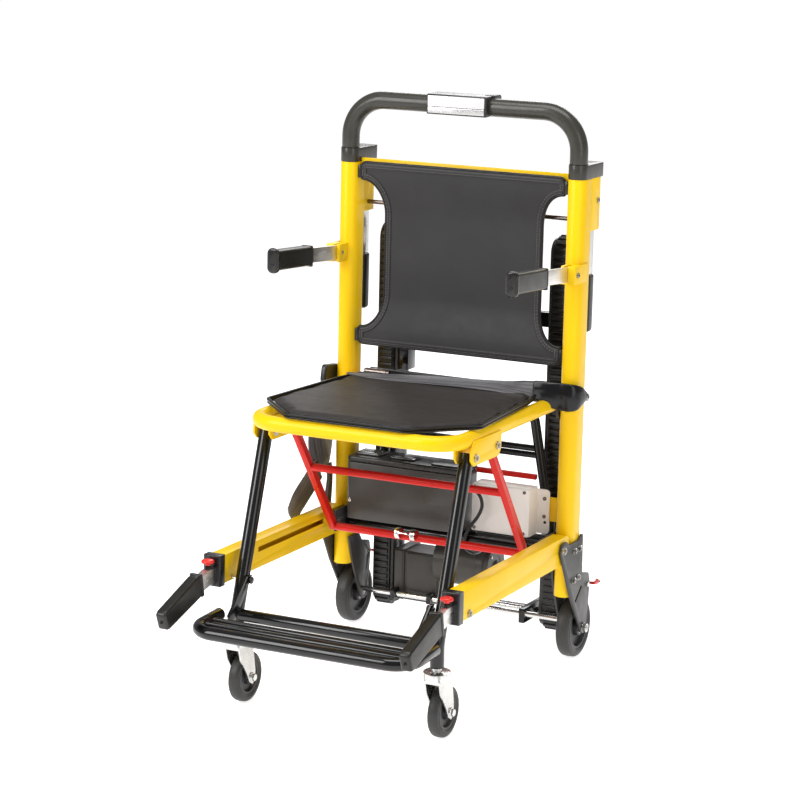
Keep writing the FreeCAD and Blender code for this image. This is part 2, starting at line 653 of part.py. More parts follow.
def rear_wheels():
    wheel_pair("rear_wheel", D.rear_x, (0, D.rear_wheel), plain(D.rear_wheel), plain(D.tyre_half), 44, 5.05, 16)

    foot = [(16, 174), (24, 150), (18, 100), (10, 56), (-3, 50), (-16, 56), (-26, 72)]
    outer = Piece("wheel_plate_outer")
    outer.plate("X", [(-134, 246), (-127, 262), (-104, 264), (-88, 254), (-44, 254), (-28, 264), (-20, 262),
                      (-18, 182)] + foot + [(-79, 148)], UP_OUT, UP_OUT + 4)
    inner = Piece("wheel_plate_inner")
    inner.plate("X", [(-76, 200), (-31, 200), (-18, 182)] + foot + [(-60, 148)], UP_IN - 4, UP_IN)
    axle = to_chassis(0, D.rear_wheel)
    for plate in (outer, inner):
        plate.disc("X", axle, 5, 220, 280, cut=True)
        plate.disc("X", BRAKE_PIVOT, 4, 220, 280, cut=True)
    outer.disc("X", (D.pivot_d_y, D.pivot_d_z), D.pin_radius, 260, 280, cut=True)
    outer.plate("X", [(-52, 130), (-47, 125), (-17, 152), (-22, 157)], 260, 280, cut=True)
    group("hinge_plates", [outer, inner] + hinge_lugs())

    brake = Piece("brake_lever")
    y, z = BRAKE_PIVOT
    lever = [(y - 9, z - 8), (y + 8, z - 8), (y + 66, z - 16), (y + 68, z - 2), (y + 2, z + 15), (y - 9, z + 8)]
    brake.plate("X", lever, 238, 264)
    brake.plate("X", [(y + 2, 127), (y + 9, 127), (y + 9, z), (y + 2, z)], 242, 260)
    brake.disc("X", BRAKE_PIVOT, PIN_BORE, 237, 265, cut=True)
    pedal = Piece("brake_pedal")
    pedal.plate("X", [(y + 66, z - 16), (y + 90, z - 27), (y + 102, z - 25), (y + 90, z - 8), (y + 68, z - 2)],
                236, 266)
    handle_pair("brake", [brake, pedal])


def to_chassis(y, z):
    """Ground frame (y, z) to chassis frame (y, z)."""
    return (plain(y) * math.cos(lean) - plain(z) * math.sin(lean),
            plain(z) * math.cos(lean) + plain(y) * math.sin(lean))


def frame_bolts():
    """Bolts that stay on the chassis: hinge pins, wheel axles, plate bolts and the strap's bolt."""
    axle = to_chassis(0, D.rear_wheel)
    shafts = [
        (PIVOT_A, D.pin_radius, 194, 231.9, 7, 194, 198),
        ((D.pivot_d_y, D.pivot_d_z), D.pin_radius, UP_IN - 8, UP_OUT + 8, 7, UP_OUT + 4, UP_OUT + 9),
        (axle, 5, UP_IN - 4, UP_OUT + 14, 9, UP_OUT + 4, UP_OUT + 12),
        (BRAKE_PIVOT, 4, UP_IN - 4, UP_OUT + 4, 5, UP_OUT + 4, UP_OUT + 7),
        (HANDLE_PIVOT, D.pin_radius, UP_IN, UP_OUT, 4.9, UP_OUT, UP_OUT + 2),
        (ARM_PIVOT, D.pin_radius, 244, UP_OUT + 4, 5, UP_OUT + 4, UP_OUT + 6),
    ]
    for centre in ((-62, 237), (-36, 237), (-61, 175), (-42, 178)):
        shafts.append((centre, 6, UP_OUT + 4, UP_OUT + 7, 6, UP_OUT + 4, UP_OUT + 7))
    shafts.append(((-32, 545), 7, UP_OUT + 6, UP_OUT + 10, 7, UP_OUT + 6, UP_OUT + 10))
    bolts = []
    for number, (centre, radius, low, high, head, head_low, head_high) in enumerate(shafts):
        bolt = Piece(f"frame_bolt_{number + 1}")
        bolt.disc("X", centre, radius, low, high)
        if head > plain(radius):
            bolt.disc("X", centre, head, head_low, head_high)
        bolts.append(bolt)
    group("frame_bolts", bolts)


# ---------------------------------------------------------------- power unit and stair tracks
def power_unit():
    frame = Piece("rear_frame")
    frame.disc("X", (-18, 238), 11, -UP_IN, UP_IN)
    frame.pipe("Y", -18, [(-206, 238), (-155, 503), (155, 503), (206, 238)], 30, 10)
    for z in (411, 425):
        frame.disc("X", (-18, z), 6.5, -172, 172)
    for y in (-62, -98):
        frame.disc("X", (y, 238), 9, -222, 222)
    for x in (-218, 210):
        frame.block((x, x + 8), (-98, -18), (232, 244))
    keep("rear_frame", frame.body)

    release = Piece("release_bar")
    release.disc("X", (-22, 367), 6, -150, 168)
    keep("release_bar", release.body)

    battery = Piece("battery_box")
    battery.block((-218, 42), (-116, -32), (248, 370))
    battery.soften(6, lambda edge, mid: abs(edge.tangentAt(0).z) > 0.9)
    keep("battery_box", battery.body)
    lid = Piece("battery_lid")
    lid.block((-218, 42), (-116, -32), (370, 384))
    lid.soften(4, lambda edge, mid: mid.z > 383.5)
    lid.block((-130, -70), (-88, -60), (384, 390))
    keep("battery_lid", lid.body)

    box = Piece("controller_box")
    box.block((52, 180), (-78, -36), (254, 353))
    box.block((180, 206), (-39, -36), (256, 348))
    keep("controller_box", box.body)


def drive():
    gearbox = Piece("gearbox_case")
    gearbox.block((-136, -55), (1.5, 75.5), (60, 166))
    gearbox.soften(4, lambda edge, mid: abs(edge.tangentAt(0).x) > 0.9)
    gearbox.disc("X", (D.track_y, D.track_low), 6.5, -140, -50, cut=True)
    casing = Piece("gear_casing")
    casing.block((-160, -138), (1.5, 75.5), (60, 168))
    casing.disc("X", (D.track_y, D.track_low), 6.5, -164, -137, cut=True)
    group("gearbox", [gearbox, casing], paired=False)

    motor = Piece("motor")
    centre = (26, 154)
    motor.disc("X", centre, 48, -55, 52)
    motor.disc("X", centre, 44, 52, 62)
    motor.disc("X", centre, 8, 62, 66)
    motor.disc("Y", (50, 206), 5.5, -2, 12)
    motor.block((44.5, 55.5), (2, 20), (194, 206))
    keep("motor", motor.body)

    front_rod = Piece("front_rod")
    front_rod.disc("X", (-15.7, 76), 5.5, 4 - UP_IN, UP_IN - 4)
    handle_rod = Piece("handle_rod")
    handle_rod.disc("X", (-17, 897), 4, -UP_IN, UP_IN)
    rear_rods = [handle_rod]
    for number, y in enumerate((14, 66)):
        rod = Piece(f"cross_rod_{number + 1}")
        rod.disc("X", (y, 68), 5, -55, 140)
        rear_rods.append(rod)
    group("cross_rods", [front_rod] + rear_rods, paired=False)

    clamps = []
    for number, x in enumerate((-156, -72)):
        clamp = Piece(f"rod_clamp_{number + 1}")
        clamp.block((x, x + 10), (-25, 1.5), (66, 86))
        clamp.disc("X", (-15.7, 76), 5.5, x - 1, x + 11, cut=True)
        clamps.append(clamp)
    end = Piece("rod_clamp_end")
    end.block((140, 152), (-25, 78), (58, 88))
    end.disc("X", (-15.7, 76), 5.5, 139, 153, cut=True)
    end.disc("X", (D.track_y, D.track_low), 6.5, 139, 153, cut=True)
    group("rod_clamps", clamps + [end], paired=False)


def stadium(piece, x, radius, cut=False):
    y = D.track_y
    piece.block(x, span(y, radius), (D.track_low, D.track_high), cut)
    piece.disc("X", (y, D.track_low), radius, *x, cut=cut)
    piece.disc("X", (y, D.track_high), radius, *x, cut=cut)


def tracks():
    y = D.track_y
    x = span(D.track_x, D.track_half)
    inside = D.track_outer - D.belt_thick
    belt = Piece("track_belt")
    stadium(belt, x, D.track_outer)
    stadium(belt, (x[0] - 1, x[1] + 1), inside, cut=True)
    group("track_belts", [belt])

    frame = Piece("track_frame")
    stadium(frame, (x[0] - 7, x[0] - 0.5), inside)
    frame.block((x[0] - 0.5, x[1] - 5), span(y, 21), (D.track_low + 36, D.track_high - 36))
    for z in (D.track_low, D.track_high):
        frame.disc("X", (y, z), 6.1, x[0] - 8, x[0] + 1, cut=True)
    group("track_frames", [frame])

    link = Piece("track_crossbar")
    link.block((7 - x[0], x[0] - 7), (30, 48), (666, 696))
    link.block((7 - x[0], 30 - x[0]), (14, 48), (548, 604))
    link.block((7 - x[0], 14 - x[0]), (30, 48), (600, 670))
    keep("track_crossbar", link.body)

    axle = Piece("drive_axle")
    axle.disc("X", (y, D.track_low), 6, 4 - x[1], x[1] - 4)
    axle.disc("X", (y, D.track_low), inside - 0.5, x[0] + 4, x[1] - 4)
    axle.disc("X", (y, D.track_low), inside - 0.5, 4 - x[1], -x[0] - 4)
    keep("drive_axle", axle.body)

    idler = Piece("idler_wheel")
    idler.disc("X", (y, D.track_high), 6, x[0] - 9, x[1] - 4)
    idler.disc("X", (y, D.track_high), inside - 0.5, x[0] + 4, x[1] - 4)
    group("idlers", [idler])


def motor_cable():
    """A lead held between the battery, the controller's front and the motor: straight runs and arcs."""
    route = [vec(*point) for point in (
        (42, -96, 345), (60, -96, 345), (78, -97, 334), (84, -95, 312), (76, -96, 290), (62, -106, 268),
        (54, -116, 246), (56, -113, 222), (62, -90, 208), (63, -60, 204), (57, -32, 205), (50, -16, 206),
        (50, -2, 206))]
    radius = 3.5
    edges = []
    start = route[0]
    for before, corner, after in zip(route, route[1:], route[2:]):
        inward = (corner - before).normalize()
        outward = (after - corner).normalize()
        half = inward.getAngle(outward) / 2
        reach = 0.45 * min((corner - before).Length, (after - corner).Length)
        bend = reach / math.tan(half)
        print(f"cable bend radius {bend:.1f} mm at turn {math.degrees(2 * half):.0f} deg")
        first = corner - inward * reach
        last = corner + outward * reach
        edges.append(Part.LineSegment(start, first).toShape())
        middle = corner + (outward - inward).normalize() * (bend / math.cos(half) - bend)
        edges.append(Part.Arc(first, middle, last).toShape())
        start = last
    edges.append(Part.LineSegment(start, route[-1]).toShape())
    path = Part.Wire(edges)
    ring = Part.Wire(Part.makeCircle(radius, route[0], route[1] - route[0]))
    solid = path.makePipeShell([ring], True, True)
    cable = doc.addObject("Part::Feature", "motor_cable")
    cable.Shape = solid
    cable.Placement = CHASSIS
    keep("motor_cable", cable)
    print(f"cable volume {solid.Volume:.0f}, expected {math.pi * radius ** 2 * path.Length:.0f}")


for build in (uprights, push_handle, backrest, arms, rear_handles, seat, beams, front_handles,
              brace, front_legs, casters, rear_wheels, frame_bolts, power_unit, drive, tracks, motor_cable):
    build()
doc.recompute()

for thing in doc.Objects:
    if "Invalid" in thing.State or "Error" in thing.State:
        raise RuntimeError(f"{thing.Label} failed to recompute: {thing.State}")
os.makedirs("parts", exist_ok=True)
whole = FreeCAD.BoundBox()
for node in NODES:
    if node.Shape.isNull() or not node.Shape.isValid():
        raise RuntimeError(f"{node.Label} has no valid shape")
    node.Shape.exportStep(f"parts/{node.Label}.step")
    whole.add(node.Shape.BoundBox)
    print(f"{node.Label}: {len(node.Shape.Solids)} solids, {node.Shape.Volume / 1000:.1f} cm3")
print(len(NODES), "nodes, box", whole)
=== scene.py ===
import json
import math
import bpy
from mathutils import Matrix, Vector


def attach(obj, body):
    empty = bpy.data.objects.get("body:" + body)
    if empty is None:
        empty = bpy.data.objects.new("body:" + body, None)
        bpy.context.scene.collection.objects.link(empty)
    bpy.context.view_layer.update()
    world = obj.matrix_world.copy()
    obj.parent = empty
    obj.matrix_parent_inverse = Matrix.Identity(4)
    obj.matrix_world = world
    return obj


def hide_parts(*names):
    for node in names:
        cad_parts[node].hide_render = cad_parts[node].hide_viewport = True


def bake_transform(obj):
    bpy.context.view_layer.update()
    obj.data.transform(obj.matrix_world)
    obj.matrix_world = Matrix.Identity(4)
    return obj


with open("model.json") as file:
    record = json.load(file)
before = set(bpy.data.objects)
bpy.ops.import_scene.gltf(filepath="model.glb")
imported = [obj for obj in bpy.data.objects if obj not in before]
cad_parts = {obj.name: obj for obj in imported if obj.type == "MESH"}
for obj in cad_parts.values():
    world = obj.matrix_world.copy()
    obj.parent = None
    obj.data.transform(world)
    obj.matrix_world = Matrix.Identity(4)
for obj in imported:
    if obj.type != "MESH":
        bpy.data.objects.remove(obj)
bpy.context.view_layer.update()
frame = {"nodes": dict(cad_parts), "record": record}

nodes = frame["nodes"]
MM = 0.001
SIDES = ((1, "right"), (-1, "left"))


def fill(node, values):
    """Set a node's unlinked input sockets from (socket, value) pairs."""
    for socket, value in values:
        node.inputs[socket].default_value = value


# ---------------------------------------------------------------- camera
AZIMUTH, ELEVATION, ROLL = math.radians(26.685), math.radians(14.068), math.radians(0.037)
DISTANCE, SIDEWAYS, UPWARDS, REAR_AXLE_Y = 5.60156, -0.12790, 0.49324, 0.326
SENSOR_WIDTH, FOCAL_LENGTH = 36, 120.87


def add_camera():
    back = Vector((math.sin(AZIMUTH) * math.cos(ELEVATION), -math.cos(AZIMUTH) * math.cos(ELEVATION),
                   math.sin(ELEVATION)))
    right = Vector((math.cos(AZIMUTH), math.sin(AZIMUTH), 0))
    up = back.cross(right)
    place = back * DISTANCE + right * SIDEWAYS + up * UPWARDS + Vector((0, REAR_AXLE_Y, 0))
    data = bpy.data.cameras.new("camera")
    data.sensor_width = SENSOR_WIDTH
    data.lens = FOCAL_LENGTH
    camera = bpy.data.objects.new("camera", data)
    turn = Matrix((right, up, back)).transposed().to_4x4()
    camera.matrix_world = Matrix.Translation(place) @ turn @ Matrix.Rotation(ROLL, 4, "Z")
    bpy.context.scene.collection.objects.link(camera)
    bpy.context.scene.camera = camera


add_camera()


# ---------------------------------------------------------------- studio
SOFTBOXES = (("key", (-1.9, -2.8, 2.5), (1.5, 2.2), 84), ("fill", (2.9, -1.7, 1.7), (1.4, 2.4), 24),
             ("top", (0.1, -0.4, 3.5), (2.6, 1.6), 70), ("back", (-0.6, 3.0, 2.2), (2.4, 1.4), 45))
WORLD_STRENGTH, FLOOR_GLOW, FLOOR_HALF = 0.30, 0.76, 30


def add_studio():
    """White cyclorama: soft boxes, a dim white surround and a glowing white floor."""
    world = bpy.data.worlds.new("studio")
    world.use_nodes = True
    fill(world.node_tree.nodes["Background"], (("Color", (1, 1, 1, 1)), ("Strength", WORLD_STRENGTH)))
    bpy.context.scene.world = world
    for name, place, size, power in SOFTBOXES:
        data = bpy.data.lights.new(name, "AREA")
        data.shape = "RECTANGLE"
        data.size, data.size_y = size
        data.energy = power
        lamp = bpy.data.objects.new(name, data)
        lamp.location = place
        aim = Vector((0, 0, 0.55)) - Vector(place)
        lamp.rotation_euler = aim.to_track_quat("-Z", "Y").to_euler()
        bpy.context.scene.collection.objects.link(lamp)
    mesh = bpy.data.meshes.new("floor")
    mesh.from_pydata([(a * FLOOR_HALF, b * FLOOR_HALF, 0) for a, b in ((-1, -1), (1, -1), (1, 1), (-1, 1))], [],
                     [(0, 1, 2, 3)])
    floor = bpy.data.objects.new("floor", mesh)
    bpy.context.scene.collection.objects.link(floor)
    paint = bpy.data.materials.new("floor")
    paint.use_nodes = True
    fill(paint.node_tree.nodes["Principled BSDF"],
         (("Base Color", (0.80, 0.80, 0.80, 1)), ("Roughness", 1.0), ("Specular IOR Level", 0.0),
          ("Emission Color", (1, 1, 1, 1)), ("Emission Strength", FLOOR_GLOW)))
    mesh.materials.append(paint)


add_studio()
bpy.context.scene.view_settings.view_transform = "Standard"

# ---------------------------------------------------------------- places
LEAN = math.radians(2.8)
CHASSIS = Matrix.Translation((0, REAR_AXLE_Y, 0)) @ Matrix.Rotation(-LEAN, 4, "X")
GROUND = Matrix.Translation((0, REAR_AXLE_Y, 0))


def to_chassis(y, z):
    """Ground frame to chassis frame, both in millimetres."""
    return (y * math.cos(LEAN) - z * math.sin(LEAN), z * math.cos(LEAN) + y * math.sin(LEAN))


# ---------------------------------------------------------------- materials
class Paint:
    """A procedural material: one Principled shader with noise, weave or grain under it."""

    def __init__(self, name, colour, rough, metal=0.0, coat=0.0, sheen=0.0, specular=0.5):
        self.material = bpy.data.materials.new(name)
        self.material.use_nodes = True
        self.tree = self.material.node_tree
        self.shader = self.tree.nodes["Principled BSDF"]
        self.colour = colour
        self.rough = rough
        fill(self.shader, (("Base Color", (*colour, 1)), ("Roughness", rough), ("Metallic", metal),
                           ("Coat Weight", coat), ("Coat Roughness", 0.06), ("Sheen Weight", sheen),
                           ("Sheen Roughness", 0.4), ("Specular IOR Level", specular)))
        self.coordinates = self.node("ShaderNodeTexCoord").outputs["Object"]
        self.normal = None

    def node(self, kind, values=(), **settings):
        made = self.tree.nodes.new(kind)
        for key, value in settings.items():
            setattr(made, key, value)
        fill(made, values)
        return made

    def link(self, start, end):
        self.tree.links.new(start, end)

    def scaled(self, scale):
        """Object coordinates stretched by a vector."""
        mapping = self.node("ShaderNodeMapping", [("Scale", scale)])
        self.link(self.coordinates, mapping.inputs["Vector"])
        return mapping.outputs["Vector"]

    def noise(self, scale, detail=3.0, stretch=(1, 1, 1)):
        made = self.node("ShaderNodeTexNoise", [("Scale", scale), ("Detail", detail)])
        self.link(self.scaled(stretch), made.inputs["Vector"])
        return made.outputs["Fac"]

    def cells(self, scale):
        made = self.node("ShaderNodeTexVoronoi", [("Scale", scale)])
        self.link(self.coordinates, made.inputs["Vector"])
        return made.outputs["Distance"]

    def bands(self, axis, pitch):
        """Sine ridges across one axis, pitch in metres."""
        made = self.node("ShaderNodeTexWave", [("Scale", math.pi / (10 * pitch))], wave_type="BANDS",
                         bands_direction=axis)
        self.link(self.coordinates, made.inputs["Vector"])
        return made.outputs["Fac"]

    def product(self, first, second, operation="MULTIPLY"):
        made = self.node("ShaderNodeMath", operation=operation)
        self.link(first, made.inputs[0])
        self.link(second, made.inputs[1])
        return made.outputs[0]

    def ranged(self, value, low, high):
        made = self.node("ShaderNodeMapRange", [("From Min", 0.3), ("From Max", 0.7), ("To Min", low),
                                                ("To Max", high)])
        self.link(value, made.inputs["Value"])
        return made.outputs["Result"]

    def bump(self, height, strength, distance):
        made = self.node("ShaderNodeBump", [("Strength", strength), ("Distance", distance)])
        self.link(height, made.inputs["Height"])
        if self.normal is not None:
            self.link(self.normal, made.inputs["Normal"])
        self.normal = made.outputs["Normal"]
        self.link(self.normal, self.shader.inputs["Normal"])

    def vary_colour(self, value, darker, lighter):
        """Blend between a darker and a lighter shade of the base colour."""
        mix = self.node("ShaderNodeMix", data_type="RGBA")
        fill(mix, (("A", (*[c * darker for c in self.colour], 1)),
                   ("B", (*[min(1, c * lighter) for c in self.colour], 1))))
        self.link(self.ranged(value, 0, 1), mix.inputs["Factor"])
        self.link(mix.outputs["Result"], self.shader.inputs["Base Color"])

    def vary_rough(self, value, spread):
        self.link(self.ranged(value, max(0.02, self.rough - spread), self.rough + spread),
                  self.shader.inputs["Roughness"])


def coated_metal(name, colour, rough, coat, peel=0.25, specular=0.3):
    """Powder coat or enamel: even colour, faint orange peel, a clear gloss."""
    paint = Paint(name, colour, rough, coat=coat, specular=specular)
    paint.vary_colour(paint.noise(9), 0.96, 1.03)
    paint.vary_rough(paint.noise(60), 0.05)
    paint.bump(paint.noise(700, 1), peel, 0.00006)
    return paint.material


def moulded(name, colour, rough, grain, depth=0.00012):
    """Moulded plastic or rubber with a fine spark-eroded texture."""
    paint = Paint(name, colour, rough, specular=0.45)
    paint.vary_colour(paint.noise(25), 0.88, 1.1)
    paint.vary_rough(paint.noise(40), 0.06)
    paint.bump(paint.noise(grain, 2), 0.35, depth)
    return paint.material


def plated(name, colour, rough, streak=(1, 1, 1), depth=0.00003):
    """Plated, polished or brushed metal."""
    paint = Paint(name, colour, rough, metal=1.0)
    paint.vary_colour(paint.noise(30), 0.9, 1.04)
    paint.vary_rough(paint.noise(320, 4, streak), 0.09)
    paint.bump(paint.noise(900, 3, streak), 0.25, depth)
    return paint.material


def leather(name, colour, rough):
    """Leatherette: small pebbles with fine creases between them."""
    paint = Paint(name, colour, rough, sheen=0.02, specular=0.32)
    paint.vary_colour(paint.noise(14), 0.93, 1.08)
    paint.vary_rough(paint.noise(50), 0.04)
    paint.bump(paint.cells(760), 0.22, 0.00014)
    paint.bump(paint.noise(240, 4), 0.18, 0.0002)
    return paint.material


def woven(name, colour, rough, pitch, first="X", second="Y", sheen=0.2):
    """Plain weave of two crossed yarns."""
    paint = Paint(name, colour, rough, sheen=sheen, specular=0.35)
    weave = paint.product(paint.bands(first, pitch), paint.bands(second, pitch), "ADD")
    paint.vary_colour(paint.product(paint.noise(30), paint.noise(900, 2), "MAXIMUM"), 0.8, 1.18)
    paint.bump(weave, 0.3, 0.0002)
    paint.bump(paint.noise(500, 3), 0.25, 0.0002)
    return paint.material


def belt_webbing(name, colour):
    """Seat-belt webbing of satin yarn, from the ribbon's own coordinates: streaks along the strap paint a satin sheen
    and highlight into the base colour (black up to 4.8 times the base), and vary the roughness too.
    """
    paint = Paint(name, colour, 0.42, sheen=0.1, specular=0.5)
    yarn = paint.node("ShaderNodeAttribute", attribute_name="yarn")
    paint.coordinates = yarn.outputs["Vector"]
    painted_sheen_streaks = paint.noise(230, 3, (1, 0.025, 1))
    # Painted highlight: the streaks darken and brighten the base colour to stand in for the satin sheen.
    paint.vary_colour(painted_sheen_streaks, 0.0, 4.8)
    paint.vary_rough(painted_sheen_streaks, 0.08)
    paint.bump(paint.product(paint.bands("X", 0.0016), paint.noise(500, 2), "ADD"), 0.35, 0.0003)
    return paint.material


YELLOW = coated_metal("yellow_coat", (0.92, 0.575, 0.003), 0.36, 0.04, 0.1, 0.2)
HANDLE_GREY = coated_metal("handle_grey", (0.036, 0.034, 0.027), 0.32, 0.2, 0.5)
BLACK_GLOSS = coated_metal("black_gloss", (0.004, 0.004, 0.004), 0.17, 0.15, 0.1, 0.4)
RED = coated_metal("red_coat", (0.62, 0.014, 0.009), 0.32, 0.05, 0.1, 0.2)
WHITE = coated_metal("white_coat", (0.92, 0.885, 0.85), 0.40, 0.1, 0.3)
CASTING = coated_metal("dark_casting", (0.060, 0.056, 0.050), 0.40, 0.1, 0.5)
GREY_FRAME = coated_metal("grey_frame", (0.048, 0.046, 0.044), 0.42, 0.1, 0.4)
CHROME = plated("chrome", (0.78, 0.78, 0.77), 0.12)
ZINC = plated("zinc_plate", (0.66, 0.66, 0.65), 0.26)
BRUSHED = plated("brushed_bar", (0.72, 0.70, 0.67), 0.34, (1, 0.03, 1), 0.00006)
DARK_STEEL = plated("dark_steel", (0.16, 0.13, 0.12), 0.22)
BOLT_STEEL = plated("bolt_steel", (0.30, 0.28, 0.26), 0.26)
TELESCOPE = plated("telescope_tube", (0.62, 0.62, 0.61), 0.3, (1, 1, 0.04))
GRIP = moulded("grip_rubber", (0.010, 0.009, 0.007), 0.34, 1500)
CAP_PLASTIC = moulded("cap_plastic", (0.011, 0.011, 0.012), 0.30, 1200)
PANEL_CASE = moulded("panel_case", (0.022, 0.022, 0.022), 0.34, 1200)
BATTERY = moulded("battery_plastic", (0.058, 0.054, 0.050), 0.34, 900)
BATTERY_LID = moulded("battery_lid", (0.024, 0.023, 0.022), 0.30, 900)
TYRE = moulded("tyre_rubber", (0.030, 0.030, 0.028), 0.46, 600, 0.0002)
HUB = moulded("hub_plastic", (0.020, 0.020, 0.022), 0.36, 900)
BELT_RUBBER = moulded("belt_rubber", (0.014, 0.013, 0.012), 0.32, 500, 0.0002)
RED_PLASTIC = moulded("red_plastic", (0.74, 0.03, 0.02), 0.25, 900, 0.00004)
CABLE = moulded("cable_jacket", (0.012, 0.012, 0.012), 0.3, 900, 0.00004)
LEATHER = leather("leatherette", (0.027, 0.026, 0.026), 0.50)
PIPING = leather("piping", (0.006, 0.006, 0.006), 0.34)
SEAT_CLOTH = leather("seat_cloth", (0.027, 0.023, 0.021), 0.54)
# Webbing whose base colour carries painted satin highlights in streaks along the strap.
WEBBING = belt_webbing("belt_webbing", (0.034, 0.033, 0.036))
THREAD = woven("thread", (0.16, 0.15, 0.15), 0.6, 0.0006)
DISPLAY = moulded("display_window", (0.72, 0.71, 0.70), 0.12, 300, 0.00002)
PANEL_SILVER = plated("panel_silver", (0.62, 0.61, 0.60), 0.3)
SLEEVE = coated_metal("belt_sleeve", (0.004, 0.004, 0.005), 0.22, 0.0, 0.4, 0.35)
ARM_GRIP = moulded("arm_grip", (0.016, 0.015, 0.012), 0.34, 1500)
ARM_CAP = coated_metal("arm_cap", (0.007, 0.006, 0.005), 0.24, 0.5)
LATCH = coated_metal("latch", (0.05, 0.05, 0.05), 0.16, 0.7)

SLOT_LOOKS = {
    "yellow_coat": YELLOW, "grey_coat": HANDLE_GREY, "bright_steel": ZINC, "panel_grey": PANEL_CASE,
    "leatherette": LEATHER, "seat_cloth": SEAT_CLOTH, "black_plastic": CAP_PLASTIC, "grip_rubber": GRIP,
    "webbing": WEBBING, "red_plastic": RED_PLASTIC, "red_coat": RED, "black_coat": BLACK_GLOSS, "zinc": ZINC,
    "tyre_grey": TYRE, "battery_plastic": BATTERY, "white_coat": WHITE, "dark_casting": CASTING,
    "black_rubber": BELT_RUBBER, "grey_frame": GREY_FRAME,
}


# ---------------------------------------------------------------- the CAD nodes that stay in sight
def edge_smoothing():
    """Smooth shading with sharp edges kept where faces meet at more than a set angle."""
    tree = bpy.data.node_groups.new("edge_smoothing", "GeometryNodeTree")
    tree.interface.new_socket("Geometry", in_out="INPUT", socket_type="NodeSocketGeometry")
    tree.interface.new_socket("Geometry", in_out="OUTPUT", socket_type="NodeSocketGeometry")
    start = tree.nodes.new("NodeGroupInput")
    end = tree.nodes.new("NodeGroupOutput")
    faces = tree.nodes.new("GeometryNodeSetShadeSmooth")
    edges = tree.nodes.new("GeometryNodeSetShadeSmooth")
    edges.domain = "EDGE"
    edges.inputs["Shade Smooth"].default_value = False
    angle = tree.nodes.new("GeometryNodeInputMeshEdgeAngle")
    steep = tree.nodes.new("FunctionNodeCompare")
    steep.inputs["B"].default_value = math.radians(32)
    tree.links.new(start.outputs[0], faces.inputs["Geometry"])
    tree.links.new(faces.outputs[0], edges.inputs["Geometry"])
    tree.links.new(angle.outputs["Unsigned Angle"], steep.inputs["A"])
    tree.links.new(steep.outputs["Result"], edges.inputs["Selection"])
    tree.links.new(edges.outputs[0], end.inputs[0])
    return tree


SMOOTHING = edge_smoothing()
SHARP_NODES = ("frame_bolts", "seat_bolts", "leg_pivot_bolts", "motor_cable")


def dress_cad_nodes():
    """Give every carried-over node its material and softly broken edges."""
    slots = {part["node"]: part["material_slot"] for part in frame["record"]["subparts"]}
    for name, thing in nodes.items():
        look = SLOT_LOOKS[slots[name]]
        for place in thing.material_slots:
            place.material = look
        if not thing.material_slots:
            thing.data.materials.append(look)
        weld = thing.modifiers.new("weld", "WELD")
        weld.merge_threshold = 0.00002
        if name not in SHARP_NODES:
            flat = thing.modifiers.new("planar", "DECIMATE")
            flat.decimate_type = "DISSOLVE"
            flat.angle_limit = math.radians(0.6)
            bevel = thing.modifiers.new("bevel", "BEVEL")
            bevel.width = 0.0008
            bevel.segments = 2
            bevel.limit_method = "ANGLE"
            bevel.angle_limit = math.radians(40)
            bevel.use_clamp_overlap = True
        smooth = thing.modifiers.new("smooth", "NODES")
        smooth.node_group = SMOOTHING


dress_cad_nodes()
for name, look in (("handle_legs", TELESCOPE), ("cross_rods", CHROME), ("battery_lid", BATTERY_LID),
                   ("rear_frame", BLACK_GLOSS), ("hinge_plates", GREY_FRAME), ("motor_cable", CABLE),
                   ("upright_caps", HANDLE_GREY)):
    for place in nodes[name].material_slots:
        place.material = look


# ---------------------------------------------------------------- mesh tools
def soften(thing, levels):
    level = thing.modifiers.new("subdivision", "SUBSURF")
    level.levels = levels
    level.render_levels = levels


class Build:
    """Collects rings of points, in millimetres of one frame, and turns them into one mesh object."""

    def __init__(self, place=CHASSIS):
        self.place = place
        self.points = []
        self.faces = []
        self.yarn = []

    def loft(self, rings, loop=False):
        """Skin a row of equal rings and cap its ends, or join the last ring to the first."""
        start = len(self.points)
        size = len(rings[0])
        for ring in rings:
            self.points.extend(ring)
        total = len(rings)
        for a in range(total if loop else total - 1):
            b = (a + 1) % total
            for i in range(size):
                j = (i + 1) % size
                self.faces.append([start + a * size + i, start + a * size + j,
                                   start + b * size + j, start + b * size + i])
        if not loop:
            self.faces.append([start + i for i in reversed(range(size))])
            self.faces.append([start + (total - 1) * size + i for i in range(size)])

    def finish(self, name, body, look, replaces=(), sharp=35, subdivide=0):
        mesh = bpy.data.meshes.new(name)
        mesh.from_pydata([self.place @ (Vector(p) * MM) for p in self.points], [], self.faces)
        mesh.validate()
        if self.yarn:
            marks = mesh.attributes.new("yarn", "FLOAT_VECTOR", "POINT")
            marks.data.foreach_set("vector", [value * MM for mark in self.yarn for value in mark])
        thing = bpy.data.objects.new(name, mesh)
        bpy.context.scene.collection.objects.link(thing)
        mesh.materials.append(look)
        mesh.polygons.foreach_set("use_smooth", [True] * len(mesh.polygons))
        mesh.set_sharp_from_angle(angle=math.radians(sharp))
        if subdivide:
            soften(thing, subdivide)
        if body:
            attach(thing, body)
        if replaces:
            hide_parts(*replaces)
        return thing


AXES = {"X": (1, 2, 0), "Y": (0, 2, 1), "Z": (0, 1, 2)}


def spot(axis, a, b, along):
    """A point from its two coordinates across an axis and the one along it."""
    point = [0.0, 0.0, 0.0]
    first, second, third = AXES[axis]
    point[first], point[second], point[third] = a, b, along
    return Vector(point)


